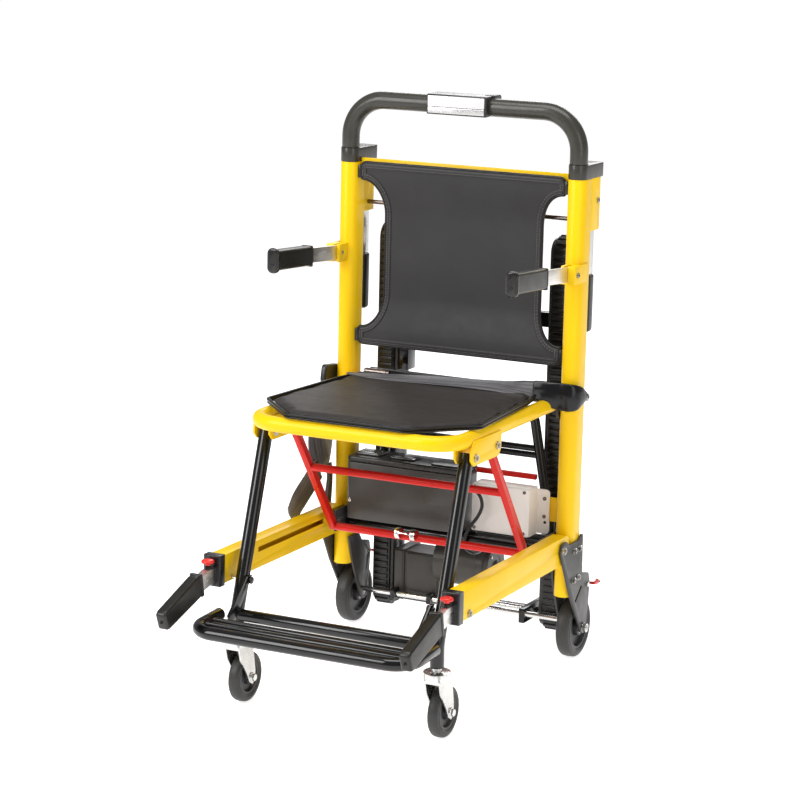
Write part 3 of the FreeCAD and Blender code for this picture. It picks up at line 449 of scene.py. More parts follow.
def round_outline(corners, radius, steps=5):
    """A closed polygon with its corners rounded. radius is one number or one per corner."""
    total = len(corners)
    radii = radius if isinstance(radius, (list, tuple)) else [radius] * total
    points = []
    for i, corner in enumerate(corners):
        here = Vector(corner)
        before = (Vector(corners[i - 1]) - here)
        after = (Vector(corners[(i + 1) % total]) - here)
        half = before.angle(after) / 2
        reach = min(radii[i] / math.tan(half), before.length * 0.49, after.length * 0.49)
        if reach < 1e-4:
            points.append(here)
            continue
        before.normalize()
        after.normalize()
        bend = reach * math.tan(half)
        middle = here + (before + after).normalized() * (bend / math.sin(half))
        start = (here + before * reach - middle)
        end = (here + after * reach - middle)
        for step in range(steps + 1):
            share = step / steps
            arm = start.slerp(end, share) if start.angle(end) > 1e-3 else start.lerp(end, share)
            points.append(middle + arm.normalized() * bend)
    return points


def box_outline(left, low, right, high, radius, steps=5):
    return round_outline([(left, low), (right, low), (right, high), (left, high)], radius, steps)


def inset(outline, depth):
    """The outline moved inwards by a depth, along the mean of its two edge normals."""
    total = len(outline)
    area = sum(outline[i - 1].x * outline[i].y - outline[i].x * outline[i - 1].y for i in range(total))
    turn = 1 if area > 0 else -1
    moved = []
    for i in range(total):
        before = (outline[i] - outline[i - 1])
        after = (outline[(i + 1) % total] - outline[i])
        if before.length < 1e-6:
            before = after
        if after.length < 1e-6:
            after = before
        normal = Vector((-before.y, before.x)).normalized() + Vector((-after.y, after.x)).normalized()
        normal.normalize()
        lean = max(0.4, normal.dot(Vector((-before.y, before.x)).normalized()))
        moved.append(outline[i] + normal * (turn * depth / lean))
    return moved


def slab(build, axis, outline, low, high, edge=1.2, steps=3):
    """A plate with rounded rims: an outline drawn out along an axis."""
    levels = []
    for step in range(steps + 1):
        turn = math.pi / 2 * step / steps
        levels.append((edge * (1 - math.sin(turn)), low + edge * (1 - math.cos(turn))))
    levels += [(depth, high - (along - low)) for depth, along in reversed(levels)]
    rings = []
    for depth, along in levels:
        shape = inset(outline, depth) if depth > 1e-6 else outline
        rings.append([spot(axis, p.x, p.y, along) for p in shape])
    build.loft(rings)


def circle(axis, centre, radius, along, sides, corners=0):
    """A ring of points about an axis, or a regular polygon when it has corners."""
    ring = []
    for i in range(sides):
        turn = 2 * math.pi * i / sides
        far = radius
        if corners:
            flat = math.pi / corners
            far = radius * math.cos(flat) / math.cos((turn % (2 * flat)) - flat)
        ring.append(spot(axis, centre[0] + far * math.cos(turn), centre[1] + far * math.sin(turn), along))
    return ring


def turned(build, axis, centre, profile, sides=48, loop=False):
    """Revolve (radius, along[, corners]) points about an axis through centre (its two cross coordinates)."""
    rings = [circle(axis, centre, point[0], point[1], sides, *point[2:]) for point in profile]
    build.loft(rings, loop)


def plates(name, body, look, slot, *shapes, replaces=(), sharp=35, subdivide=0):
    """One object made of slabs: each shape is (axis, outline, low, high, edge, steps)."""
    build = Build()
    for shape in shapes:
        slab(build, *shape)
    return build.finish(name, body, look, replaces, sharp, subdivide)


def turning(name, body, look, slot, *shapes, replaces=(), sharp=35):
    """One object made of turned shapes: each is (axis, centre, profile, sides, loop)."""
    build = Build()
    for shape in shapes:
        turned(build, *shape)
    return build.finish(name, body, look, replaces, sharp)


def smooth_route(points, steps=8):
    """Catmull-Rom curve through the points."""
    spots = [Vector(p) for p in points]
    spots = [spots[0] * 2 - spots[1], *spots, spots[-1] * 2 - spots[-2]]
    line = []
    for a, b, c, d in zip(spots, spots[1:], spots[2:], spots[3:]):
        for step in range(steps):
            u = step / steps
            line.append(0.5 * ((2 * b) + (c - a) * u + (2 * a - 5 * b + 4 * c - d) * u * u
                               + (3 * b - a - 3 * c + d) * u * u * u))
    return line + [spots[-2]]


def tube(build, line, radius, sides=16, closed=False):
    """A round section carried along a line without twist. radius is one number or one per point."""
    total = len(line)
    radii = radius if isinstance(radius, (list, tuple)) else [radius] * total
    heading = (line[1] - line[0]).normalized()
    side = heading.orthogonal().normalized()
    rings = []
    for i, here in enumerate(line):
        if closed:
            way = (line[(i + 1) % total] - line[i - 1]).normalized()
        else:
            way = (line[min(i + 1, total - 1)] - line[max(i - 1, 0)]).normalized()
        side = (side - way * side.dot(way)).normalized()
        other = way.cross(side)
        rings.append([here + (side * math.cos(t) + other * math.sin(t)) * radii[i]
                      for t in (2 * math.pi * k / sides for k in range(sides))])
    build.loft(rings, loop=closed)


def simulate(thing, voxel, cap, pressure=4.0):
    """Blow the closed mesh up a little with cloth simulation, and keep the result."""
    remesh = thing.modifiers.new("remesh", "REMESH")
    remesh.mode = "VOXEL"
    remesh.voxel_size = voxel
    remesh.use_smooth_shade = True
    bpy.context.view_layer.objects.active = thing
    thing.select_set(True)
    bpy.ops.object.modifier_apply(modifier="remesh")
    before = [v.co.copy() for v in thing.data.vertices]
    cloth = thing.modifiers.new("cloth", "CLOTH")
    for setting, value in (("quality", 6), ("mass", 0.3), ("tension_stiffness", 25), ("compression_stiffness", 25),
                           ("bending_stiffness", 2), ("use_pressure", True), ("uniform_pressure_force", pressure)):
        setattr(cloth.settings, setting, value)
    cloth.settings.effector_weights.gravity = 0
    cloth.point_cache.frame_start = 1
    cloth.point_cache.frame_end = 20
    for number in range(1, 21):
        bpy.context.scene.frame_set(number)
    bpy.ops.object.modifier_apply(modifier="cloth")
    for vertex, start in zip(thing.data.vertices, before):
        move = vertex.co - start
        if move.length > cap:
            vertex.co = start + move * (cap / move.length)
    bpy.context.scene.frame_set(1)
    thing.select_set(False)
    soften(thing, 1)


# ---------------------------------------------------------------- backrest sling
SLING_LOW, SLING_HIGH, SLING_HALF, SLING_WAIST, TAB, SLING_Y = 610, 982, 225, 173, 34, -62
CUT_RISE, SLING_THICK = 70, 5.0


def sling_y(x, z):
    """Depth of the sling's front face: flat at the hems, lying back between them."""
    from_hem = min(z - SLING_LOW, SLING_HIGH - z)
    share = max(0.0, min(1.0, (from_hem - 8) / 100))
    fall = share * share * (3 - 2 * share)
    return SLING_Y + fall * (12 + 4 * (1 - (x / SLING_HALF) ** 2))


def sling_outline():
    """Closed outline, counter-clockwise seen from the front: tabs with round corners, elliptical cut-outs."""
    quarter = []
    corner, low_corner = 12, 5
    for step in range(7):
        turn = math.pi / 2 * step / 6
        quarter.append((SLING_HALF - corner + corner * math.sin(turn),
                        SLING_HIGH - corner + corner * math.cos(turn)))
    for step in range(5):
        turn = math.pi / 2 * step / 4
        quarter.append((SLING_HALF - low_corner + low_corner * math.cos(turn),
                        SLING_HIGH - TAB + low_corner - low_corner * math.sin(turn)))
    reach = SLING_HALF - low_corner - SLING_WAIST
    for step in range(1, 17):
        turn = math.pi / 2 * step / 16
        quarter.append((SLING_HALF - low_corner - reach * math.sin(turn),
                        SLING_HIGH - TAB - CUT_RISE * (1 - math.cos(turn))))
    middle = (SLING_LOW + SLING_HIGH) / 2
    top = SLING_HIGH - TAB - CUT_RISE
    for step in range(1, 9):
        quarter.append((SLING_WAIST, top + (middle - top) * step / 8))
    right = quarter + [(x, 2 * middle - z) for x, z in reversed(quarter[:-1])]
    top_run = [(x, SLING_HIGH) for x in range(-190, 191, 20)]
    low_run = [(x, SLING_LOW) for x in range(190, -191, -20)]
    left = [(-x, z) for x, z in reversed(right)]
    return [Vector(p) for p in top_run + right + low_run + left]


def sling_panel():
    outline = sling_outline()
    widths = {}
    for p in outline:
        key = round(p.y, 2)
        if p.x > 0:
            widths[key] = max(widths.get(key, 0), p.x)
    for k in range(-5, 6):
        widths[round((SLING_LOW + SLING_HIGH) / 2 + k * 18.0, 2)] = SLING_WAIST
    columns = [-1 + 2 * k / 40 for k in range(41)]
    build = Build()
    rings = []
    for z in sorted(widths):
        row = [(widths[z] - 0.6) * share for share in columns]
        rings.append([Vector((x, sling_y(x, z) + 0.9, z)) for x in row]
                     + [Vector((x, sling_y(x, z) + SLING_THICK, z)) for x in reversed(row)])
    build.loft(rings)
    panel = build.finish("backrest_panel", "chassis", LEATHER, ["backrest_sling"], sharp=60)
    return outline


def on_sling(p, lift):
    return Vector((p.x, sling_y(p.x, p.y) - lift, p.y))


def sling_trim(outline):
    """Piping round the edge, the turned hem inside it and its two rows of stitches."""
    piping = Build()
    tube(piping, [on_sling(p, -2.8) for p in outline], 3.1, 10, closed=True)
    piping.finish("backrest_piping", "chassis", PIPING, sharp=60)
    hem = Build()
    rings = []
    for depth, lift in ((1.5, -1.2), (1.8, 0.2), (3.0, 0.75), (11.0, 0.75), (12.2, 0.4), (12.6, -1.2)):
        rings.append([on_sling(p, lift) for p in inset(outline, depth)])
    hem.loft(rings, loop=True)
    hem.finish("backrest_hem", "chassis", LEATHER, sharp=50)
    stitches = Build()
    for depth in (4.2, 9.6):
        dashes(stitches, [on_sling(p, 0.9) for p in inset(outline, depth)], 3.2, 1.5, 0.42)
    stitches.finish("backrest_stitching", "chassis", THREAD)


def dashes(build, line, long, gap, radius):
    """Stitches: short round-ended threads along a closed line."""
    total = len(line)
    left = 0.0
    for i, start in enumerate(line):
        end = line[(i + 1) % total]
        run = (end - start).length
        if run < 1e-6:
            continue
        way = (end - start) / run
        at = left
        while at + long <= run + 0.5:
            first = start + way * at
            middle = first + way * (long / 2)
            last = first + way * long
            tube(build, [first, first + way * 0.35, middle, last - way * 0.35, last],
                 [radius * 0.3, radius * 0.85, radius, radius * 0.85, radius * 0.3], 5)
            at += long + gap
        left = max(0.0, at - run)


sling_trim(sling_panel())

# ---------------------------------------------------------------- seat pad
PAD_LOW, PAD_HIGH = 547, 559
PAD_CORNERS = [(200, -96), (214, -176), (232, -432), (128, -542), (-128, -542), (-232, -432), (-214, -176),
               (-200, -96)]
PAD_RADII = [10, 60, 26, 34, 34, 26, 60, 10]


def pad_rings(outline, centre, levels):
    rings = []
    for share, z in levels:
        rings.append([Vector((centre.x + (p.x - centre.x) * share, centre.y + (p.y - centre.y) * share, z))
                      for p in outline])
    return rings


def seat_pad():
    outline = round_outline(PAD_CORNERS, PAD_RADII, 8)
    fine = []
    for i, p in enumerate(outline):
        q = outline[(i + 1) % len(outline)]
        parts = max(1, int((q - p).length / 9))
        fine.extend(p.lerp(q, k / parts) for k in range(parts))
    centre = Vector((0, -320))
    build = Build()
    shrunk = inset(fine, 5.0)
    low, high = PAD_LOW + 3.2, PAD_HIGH - 3.2
    levels = [(0.02, low), (0.5, low), (0.97, low), (1.0, low + 1.5), (1.0, high - 1.5), (0.97, high),
              (0.8, high), (0.5, high), (0.02, high)]
    build.loft(pad_rings(shrunk, centre, levels))
    pad = build.finish("seat_cushion", None, SEAT_CLOTH, sharp=60)
    simulate(pad, 0.005, 0.0055)
    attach(pad, "seat")
    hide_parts("seat_pad")
    binding = Build()
    for rise, depth, radius in ((2.4, 3.2, 3.4), (-3.4, 3.6, 2.6)):
        tube(binding, [Vector((p.x, p.y, (PAD_LOW + PAD_HIGH) / 2 + rise)) for p in inset(fine, depth)], radius, 10,
             closed=True)
    binding.finish("seat_piping", "seat", PIPING, sharp=60)


seat_pad()


# ---------------------------------------------------------------- belts
def ribbon(build, stations, thick, steps=8, curl=0.0):
    """A flat strap through (centre, width direction, width) stations, curled up along its middle."""
    centres = smooth_route([s[0] for s in stations], steps)
    ways = smooth_route([s[1] for s in stations], steps)
    widths = smooth_route([(s[2], 0, 0) for s in stations], steps)
    half = thick / 2
    shares = (-1, -0.96, -0.75, -0.45, -0.15, 0.15, 0.45, 0.75, 0.96, 1)
    rings = []
    total = len(centres)
    travelled = 0.0
    for i, here in enumerate(centres):
        heading = (centres[min(i + 1, total - 1)] - centres[max(i - 1, 0)]).normalized()
        across = (ways[i] - heading * ways[i].dot(heading)).normalized()
        up = heading.cross(across)
        reach = widths[i].x / 2
        travelled += (here - centres[max(i - 1, 0)]).length
        ring = []
        for side, row in ((1, shares), (-1, tuple(reversed(shares)))):
            for share in row:
                rim = half * (0.5 if abs(share) == 1 else 1.0)
                ripple = 0.35 * math.sin(share * 7 + i * 0.21)
                ring.append(here + across * (share * reach) + up * (side * rim + curl * (1 - share * share) + ripple))
                build.yarn.append((share * reach, travelled, 0))
        rings.append(ring)
    build.loft(rings)
    return travelled


def lap_belt():
    """Webbing that lies across the back of the pad and runs into a padded sleeve at the right upright."""
    lap = Build()
    stations = [((-206, -134, 560), (0.2, 1, 0), 14), ((-185, -142, 561), (0.2, 1, 0), 24),
                ((-154, -148, 562.5), (0.14, 1, 0.03), 38), ((-104, -143, 563.5), (0.08, 1, 0.06), 48),
                ((-40, -138, 565), (0, 1, 0.09), 52), ((20, -136, 566.5), (0, 1, 0.12), 52),
                ((70, -134, 568), (0, 1, 0.17), 52), ((120, -132, 569), (0, 1, 0.24), 50),
                ((160, -128, 568), (0, 0.9, 0.4), 47), ((188, -117, 565), (0, 0.7, 0.65), 43),
                ((206, -107, 562), (0, 0.45, 0.85), 42)]
    long = ribbon(lap, stations, 2.2, curl=1.2)
    belt = lap.finish("lap_belt", None, WEBBING, sharp=60)
    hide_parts("seat_strap")
    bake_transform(belt)


def belt_sleeves():
    """Padded sleeve round the right upright, and the belt's buckle outside the left one."""
    sleeve = Build()
    stations = [((192, -113, 565), (0, 0.6, 0.8), 39), ((206, -105, 562), (0, 0.4, 0.9), 44),
                ((222, -98, 557), (0, 0.18, 1), 50), ((238, -92, 554), (0, 0.05, 1), 54),
                ((252, -89, 552.5), (0, 0, 1), 56), ((264, -86, 552), (0, 0, 1), 55),
                ((272, -78, 552), (0, 0, 1), 51), ((274.5, -66, 552), (0, 0, 1), 42),
                ((275, -54, 551), (0, 0, 1), 30), ((275, -42, 550), (0, 0, 1), 18)]
    ribbon(sleeve, stations, 7.5, curl=4.5)
    piece = sleeve.finish("belt_sleeve_right", None, SLEEVE, ["belt_ends"], sharp=70, subdivide=1)
    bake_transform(piece)
    seam = Build()
    tube(seam, [Vector((268, -85.5, 529)), Vector((268.6, -86, 552)), Vector((268, -85.5, 575))], 0.8, 8)
    seam.finish("belt_sleeve_seams", "chassis", PIPING)
    bolt_head("belt_bolt_right", "chassis", 1, 277.5, 284, (-44, 549), 7.5, 6)
    case = round_outline([(-116, 528), (-56, 520), (-50, 560), (-108, 566)], 9)
    boss = round_outline([(-104, 534), (-70, 529), (-66, 552), (-98, 556)], 5)
    plates("belt_buckle", "chassis", CAP_PLASTIC, "webbing", ("X", case, -284, -271, 3.5, 4),
           ("X", boss, -286.5, -283, 1.2, 3), subdivide=1)
    bolt_head("belt_bolt_left", "chassis", -1, 284.5, 288, (-40, 546), 6, 6)
    band = Build()
    ribbon(band, [((x, -58 - 3 * (1 - (x / 196) ** 2), 546), (0, 0.08, 1), 32) for x in range(-196, 197, 49)], 3)
    band.finish("seat_rear_band", "seat", PIPING, sharp=60)
    turning("seat_roller", "seat", DARK_STEEL, "webbing",
            ("X", (-82, 557.5), [(3, -197), (5, -197), (5, -194), (7, -193.5), (7, -146), (5.5, -145), (5.5, -140),
                                 (2, -139.5)], 24))


def hanging_strap():
    """The belt's loose tail outside the left beam, doubled over and nipped together half way down."""
    bands = {
        "satin": ([((-281, -76, 512), 50), ((-281, -80, 460), 56), ((-281, -80, 415), 60), ((-280, -90, 380), 62),
                   ((-279, -104, 356), 66)], (-0.10, 1, -0.15), -3),
        "dark": ([((-277, -96, 512), 50), ((-276, -122, 460), 54), ((-276, -138, 420), 56), ((-276, -128, 384), 56),
                  ((-276, -116, 360), 54)], (0.15, 1, -0.2), 2),
        "low": ([((-279, -112, 352), 62), ((-280, -140, 336), 72), ((-282, -176, 311), 74), ((-283, -206, 290), 74),
                 ((-283, -226, 268), 74)], (-0.15, 0.53, -0.85), -4),
        "thin": ([((-278, -84, 352), 20), ((-277, -76, 330), 14), ((-277, -78, 300), 16), ((-278, -84, 262), 20)],
                 (0.5, 0.85, 0), 1)}
    for name, (route, across, curl) in bands.items():
        tail = Build()
        long = ribbon(tail, [(centre, across, width) for centre, width in route], 2.2, curl=curl)
        piece = tail.finish("strap_tail_" + name, "chassis", WEBBING, sharp=60)
    keeper = round_outline([(-150, 372), (-72, 345), (-70, 336), (-146, 362)], 4)
    plates("strap_keeper", "chassis", PIPING, "webbing", ("X", keeper, -286, -275, 2), subdivide=1)


# ---------------------------------------------------------------- bolts
CASTER_X, CASTER_AXLE = 214, (-529.4, 50)
REAR_WHEEL_X, REAR_AXLE = 252, (0, 62.5)


def bolt_head(name, body, side, low, high, centre, radius, corners):
    """A screw head facing out along X: domed with a socket, or a nut on a washer when corners is 0."""
    build = Build()
    tall = high - low
    if corners:
        shapes = [((0.96, 0, 0), (1, 0.1, 0), (1, 0.45, 0), (0.93, 0.72, 0), (0.72, 0.93, 0), (0.52, 1, 0),
                   (0.48, 1, corners), (0.44, 0.55, corners), (0.05, 0.5, corners))]
    else:
        shapes = [((1.25, 0, 0), (1.28, 0.08, 0), (1.25, 0.16, 0), (0.6, 0.16, 0)),
                  ((1, 0.16, 6), (1, 0.72, 6), (0.93, 0.82, 0), (0.55, 0.83, 0), (0.52, 1, 0), (0.4, 1.06, 0))]
    for shape in shapes:
        turned(build, "X", centre, [(radius * reach, side * (low + along * tall), flats)
                                    for reach, along, flats in shape], 24)
    return build.finish(name, body, BOLT_STEEL, sharp=30)


def hardware():
    """Screw heads, nuts and washers over the ends of the frame's pins."""
    for side, name in SIDES:
        for number, centre in enumerate(((-63, 236), (-39, 236), (-64, 175), (-40, 177))):
            bolt_head(f"plate_nut_{name}_{number + 1}", "chassis", side, 274, 279.5, centre, 5.2, 0)
        bolt_head("beam_nut_" + name, "chassis", side, 274, 281, (-120.5, 249), 6.6, 0)
        bolt_head("arm_screw_" + name, "chassis", side, 274, 277.6, (-98, 799), 5.4, 6)
        bolt_head("handle_screw_" + name, "chassis", side, 270, 273, (2, 936), 5.2, 6)
        bolt_head("axle_nut_" + name, "chassis", side, 274, 283.6, to_chassis(*REAR_AXLE), 8.2, 0)
        bolt_head("leg_nut_" + name, "beams", side, 268, 273.4, (-544.6, 224.7), 6.4, 0)
        for number, centre in enumerate(((-459, 498.2), (-363, 505))):
            bolt_head(f"bracket_nut_{name}_{number + 1}", "seat", side, 233, 238.4, centre, 6.2, 0)
        for number, flank in enumerate((1, -1)):
            hub = Build(GROUND)
            turned(hub, "X", CASTER_AXLE, [(reach, side * CASTER_X + flank * along, 6 if reach == 7.6 else 0)
                                           for reach, along in ((9, 16.9), (9, 18.2), (7.6, 18.6), (7.6, 22),
                                                                (6.6, 23), (3.5, 23.4))], 24)
            hub.finish(f"caster_nut_{name}_{number + 1}", "caster_" + name, CHROME, sharp=30)


# ---------------------------------------------------------------- wheels
def wheel(label, x, axle, radius, half, rim, boss):
    """Rubber tyre with rounded shoulders and a moulding line, on a plastic hub with a steel bearing."""
    tyre = Build(GROUND)
    section = round_outline([(rim, half - 2), (rim + 5, half), (radius - 1, half - 1), (radius, 0),
                             (radius - 1, 1 - half), (rim + 5, -half), (rim, 2 - half)],
                            [1, 4, half * 0.55, half, half * 0.55, 4, 1], 6)
    turned(tyre, "X", axle, [(p.x, x + p.y) for p in section], 64, loop=True)
    for flank in (1, -1):
        line = circle("X", axle, rim + (radius - rim) * 0.42, x + flank * (half - 0.35), 64)
        tube(tyre, line, 0.75, 6, closed=True)
    tyre.finish(label + "_tyre", label, TYRE, [label], sharp=60)
    web = half * 0.3
    hub = Build(GROUND)
    profile = round_outline([(boss - 5, half + 0.5), (boss, half + 0.5), (boss + 1.5, web), (rim - 7, web),
                             (rim - 4, half - 2), (rim + 0.4, half - 2), (rim + 0.4, 2 - half), (rim - 4, 2 - half),
                             (rim - 7, -web), (boss + 1.5, -web), (boss, -half - 0.5), (boss - 5, -half - 0.5)],
                            [0.4, 1, 2.5, 3, 1.2, 0.6, 0.6, 1.2, 3, 2.5, 1, 0.4], 4)
    turned(hub, "X", axle, [(p.x, x + p.y) for p in profile], 64, loop=True)
    hub.finish(label + "_hub", label, HUB, sharp=35)
    bearing = Build(GROUND)
    for flank in (1, -1):
        turned(bearing, "X", axle, [(boss - back, x + flank * (half + out))
                                    for back, out in ((4.8, -0.5), (4.8, 0.9), (8, 0.9), (8, -0.5))], 40)
    bearing.finish(label + "_bearing", label, ZINC, sharp=35)


def wheels():
    for side, name in SIDES:
        wheel("rear_wheel_" + name, side * REAR_WHEEL_X, REAR_AXLE, 62.5, 15, 44, 17)
        wheel("caster_wheel_" + name, side * CASTER_X, CASTER_AXLE, 50, 12, 34, 13.5)


# ---------------------------------------------------------------- stair tracks
TRACK_X, TRACK_Y, TRACK_LOW, TRACK_HIGH, RIBS = 194.5, 38.5, 71, 821, 124


def track_belts():
    """A rubber belt round two ends, with a cross rib at an even pitch all the way round."""
    straight = TRACK_HIGH - TRACK_LOW
    arc = math.pi * 32
    pitch = 2 * (straight + arc) / RIBS
    profile = ((0, 31.8), (0.08, 34.6), (0.14, 35), (0.58, 35), (0.64, 34.6), (0.72, 31.8))
    stations = [(number * pitch + share * pitch, radius) for number in range(RIBS) for share, radius in profile]
    for side, name in SIDES:
        belt = Build()
        rings = []
        for along, radius in stations:
            if along < straight:
                base, way = Vector((0, TRACK_Y, TRACK_LOW + along)), Vector((0, -1, 0))
            elif along < straight + arc:
                turn = (along - straight) / arc * math.pi
                base, way = Vector((0, TRACK_Y, TRACK_HIGH)), Vector((0, -math.cos(turn), math.sin(turn)))
            elif along < 2 * straight + arc:
                base = Vector((0, TRACK_Y, TRACK_HIGH - (along - straight - arc)))
                way = Vector((0, 1, 0))
            else:
                turn = (along - 2 * straight - arc) / arc * math.pi
                base, way = Vector((0, TRACK_Y, TRACK_LOW)), Vector((0, math.cos(turn), -math.sin(turn)))
            rings.append([base + way * reach + Vector((side * TRACK_X + across, 0, 0))
                          for across, reach in ((-19, 27), (-19, 30.6), (-16.2, 31.4), (-15, radius), (0, radius),
                                                (15, radius), (16.2, 31.4), (19, 30.6), (19, 27))])
        belt.loft(rings, loop=True)
        belt.finish("track_belt_" + name, "tracks", BELT_RUBBER,
                    ["track_belts"] if side == 1 else (), sharp=30)


# ---------------------------------------------------------------- grips and bars
def front_handles():
    for side, name in SIDES:
        body, centre = "front_handle_" + name, side * 253
        bar = round_outline([(-430, 220), (-430, 252), (-622, 252), (-653, 243), (-644, 213), (-612, 220)],
                            [1, 1, 14, 2, 2, 14])
        plates("front_bar_" + name, body, BRUSHED, "bright_steel", ("X", bar, centre - 7, centre + 7, 1.2))
        grip = round_outline([(-656, 250.5), (-668, 249), (-776, 210), (-784, 203), (-772, 172), (-764, 172),
                              (-656, 205), (-646, 209)], [4, 14, 7, 8, 8, 7, 14, 4], 5)
        collar = round_outline([(-650, 252.5), (-660, 253), (-650, 206), (-641, 208)], [3, 3, 3, 3], 4)
        plates("front_grip_" + name, body, GRIP, "grip_rubber", ("X", grip, centre - 11.5, centre + 11.5, 5.0, 5),
               ("X", collar, centre - 12.6, centre + 12.6, 2.5, 3), replaces=[body], sharp=50)
        hole = Build()
        out = Vector((-0.93, -0.36)).normalized()
        tip = Vector((-777.5, 187.5)) + out * 1.5
        ring = [Vector((centre + 2.6 * math.cos(t), tip.x - out.y * 2.6 * math.sin(t),
                        tip.y + out.x * 2.6 * math.sin(t))) for t in (2 * math.pi * k / 20 for k in range(20))]
        tube(hole, ring, 0.8, 8, closed=True)
        hole.finish("grip_hole_" + name, body, PIPING)


def release_buttons():
    cap = [(2, 259), (5, 259), (5, 262), (9, 262.6), (12.2, 264), (12.8, 266), (12.2, 268.6), (9.5, 270.4), (5, 271),
           (0.5, 271)]
    sleeve = [(6.4, 251.5), (6.4, 256.5), (5.6, 257.2), (4.1, 257.4), (4.1, 251.5)]
    for side, name in SIDES:
        body, place = "button_" + name, (side * 253, -611)
        turning("release_cap_" + name, body, RED_PLASTIC, "red_plastic", ("Z", place, cap, 36),
                replaces=["release_button_" + name], sharp=50)
        turning("release_stem_" + name, body, PIPING, "black_plastic", ("Z", place, sleeve, 28, True),
                ("Z", place, [(3.4, 247), (3.4, 260.5), (1, 260.5)], 20), sharp=40)


def arms():
    y, z = -98, 799
    for side, name in SIDES:
        body, centre = "armrest_" + name, side * 255
        bar = round_outline([(y + 13, z - 11), (y + 13, z + 11), (y, z + 15), (-223, 823), (-223, 793), (y, z - 15)],
                            [6, 6, 10, 1, 1, 10])
        plates("arm_bar_" + name, body, BRUSHED, "bright_steel", ("X", bar, centre - 4, centre + 4, 1.2))
        grip = round_outline([(-221, 788), (-221, 828), (-367, 836), (-367, 796)], [9, 9, 5, 5], 5)
        groove = round_outline([(-226, 786.5), (-226, 829), (-232, 829.3), (-232, 786.8)], 1.5, 3)
        plates("arm_grip_" + name, body, ARM_GRIP, "grip_rubber", ("X", grip, centre - 12, centre + 12, 5.5, 6),
               ("X", groove, centre - 12.6, centre + 12.6, 3, 3), replaces=[body], sharp=50)
        cap = box_outline(centre - 13, 790, centre + 13, 840, 11, 7)
        plates("arm_cap_" + name, body, ARM_CAP, "grip_rubber", ("Y", cap, -371, -361, 4, 5), sharp=50)
        hole = Build()
        tube(hole, circle("Y", (centre, 808), 2.4, -371.2, 20), 0.7, 8, closed=True)
        hole.finish("arm_hole_" + name, body, PIPING)


def rear_handles():
    for side, name in SIDES:
        body, centre = "rear_handle_" + name, side * 251
        plates("carry_bar_" + name, body, BRUSHED, "bright_steel",
               ("X", box_outline(-8, 780, 16, 952, [1, 1, 11, 11]), centre - 4, centre + 7, 1))
        plates("carry_grip_" + name, body, GRIP, "grip_rubber",
               ("X", box_outline(-8, 671, 16.5, 787, [9, 9, 5, 5]), centre - 11, centre + 11, 5, 5),
               replaces=[body], sharp=50)


# ---------------------------------------------------------------- control panel
def control_panel():
    case = round_outline([(-87, 1091.5), (-87, 1132), (-40, 1133), (-30, 1126), (-30, 1094)], [3, 4, 6, 6, 4], 4)
    clamp = round_outline([(-58, 1092), (-58, 1134), (-26, 1134), (-22, 1128), (-22, 1092)], [3, 3, 6, 6, 3], 4)
    plates("panel_case", "push_handle", PANEL_CASE, "panel_grey", ("X", case, -68, 62, 1.5), ("X", clamp, 44, 66, 2),
           replaces=["control_panel"])
    plates("panel_face_upper", "push_handle", DISPLAY, "panel_grey",
           ("Y", box_outline(-65, 1107.5, 58, 1129, 1.2, 3), -89, -86.5, 0.8))
    plates("panel_face_lower", "push_handle", PANEL_SILVER, "panel_grey",
           ("Y", box_outline(-65, 1094.5, 58, 1106.6, 1.2, 3), -88.6, -86.5, 0.8))
    ring = [(15, 1009.6), (18.6, 1009.6), (18.9, 1010.4), (18.6, 1011.6), (15, 1011.6)]
    turning("handle_joint_rings", "push_handle", PIPING, "grey_coat",
            *[("Z", (side * 251, -58), ring, 40, True) for side, name in SIDES], sharp=40)


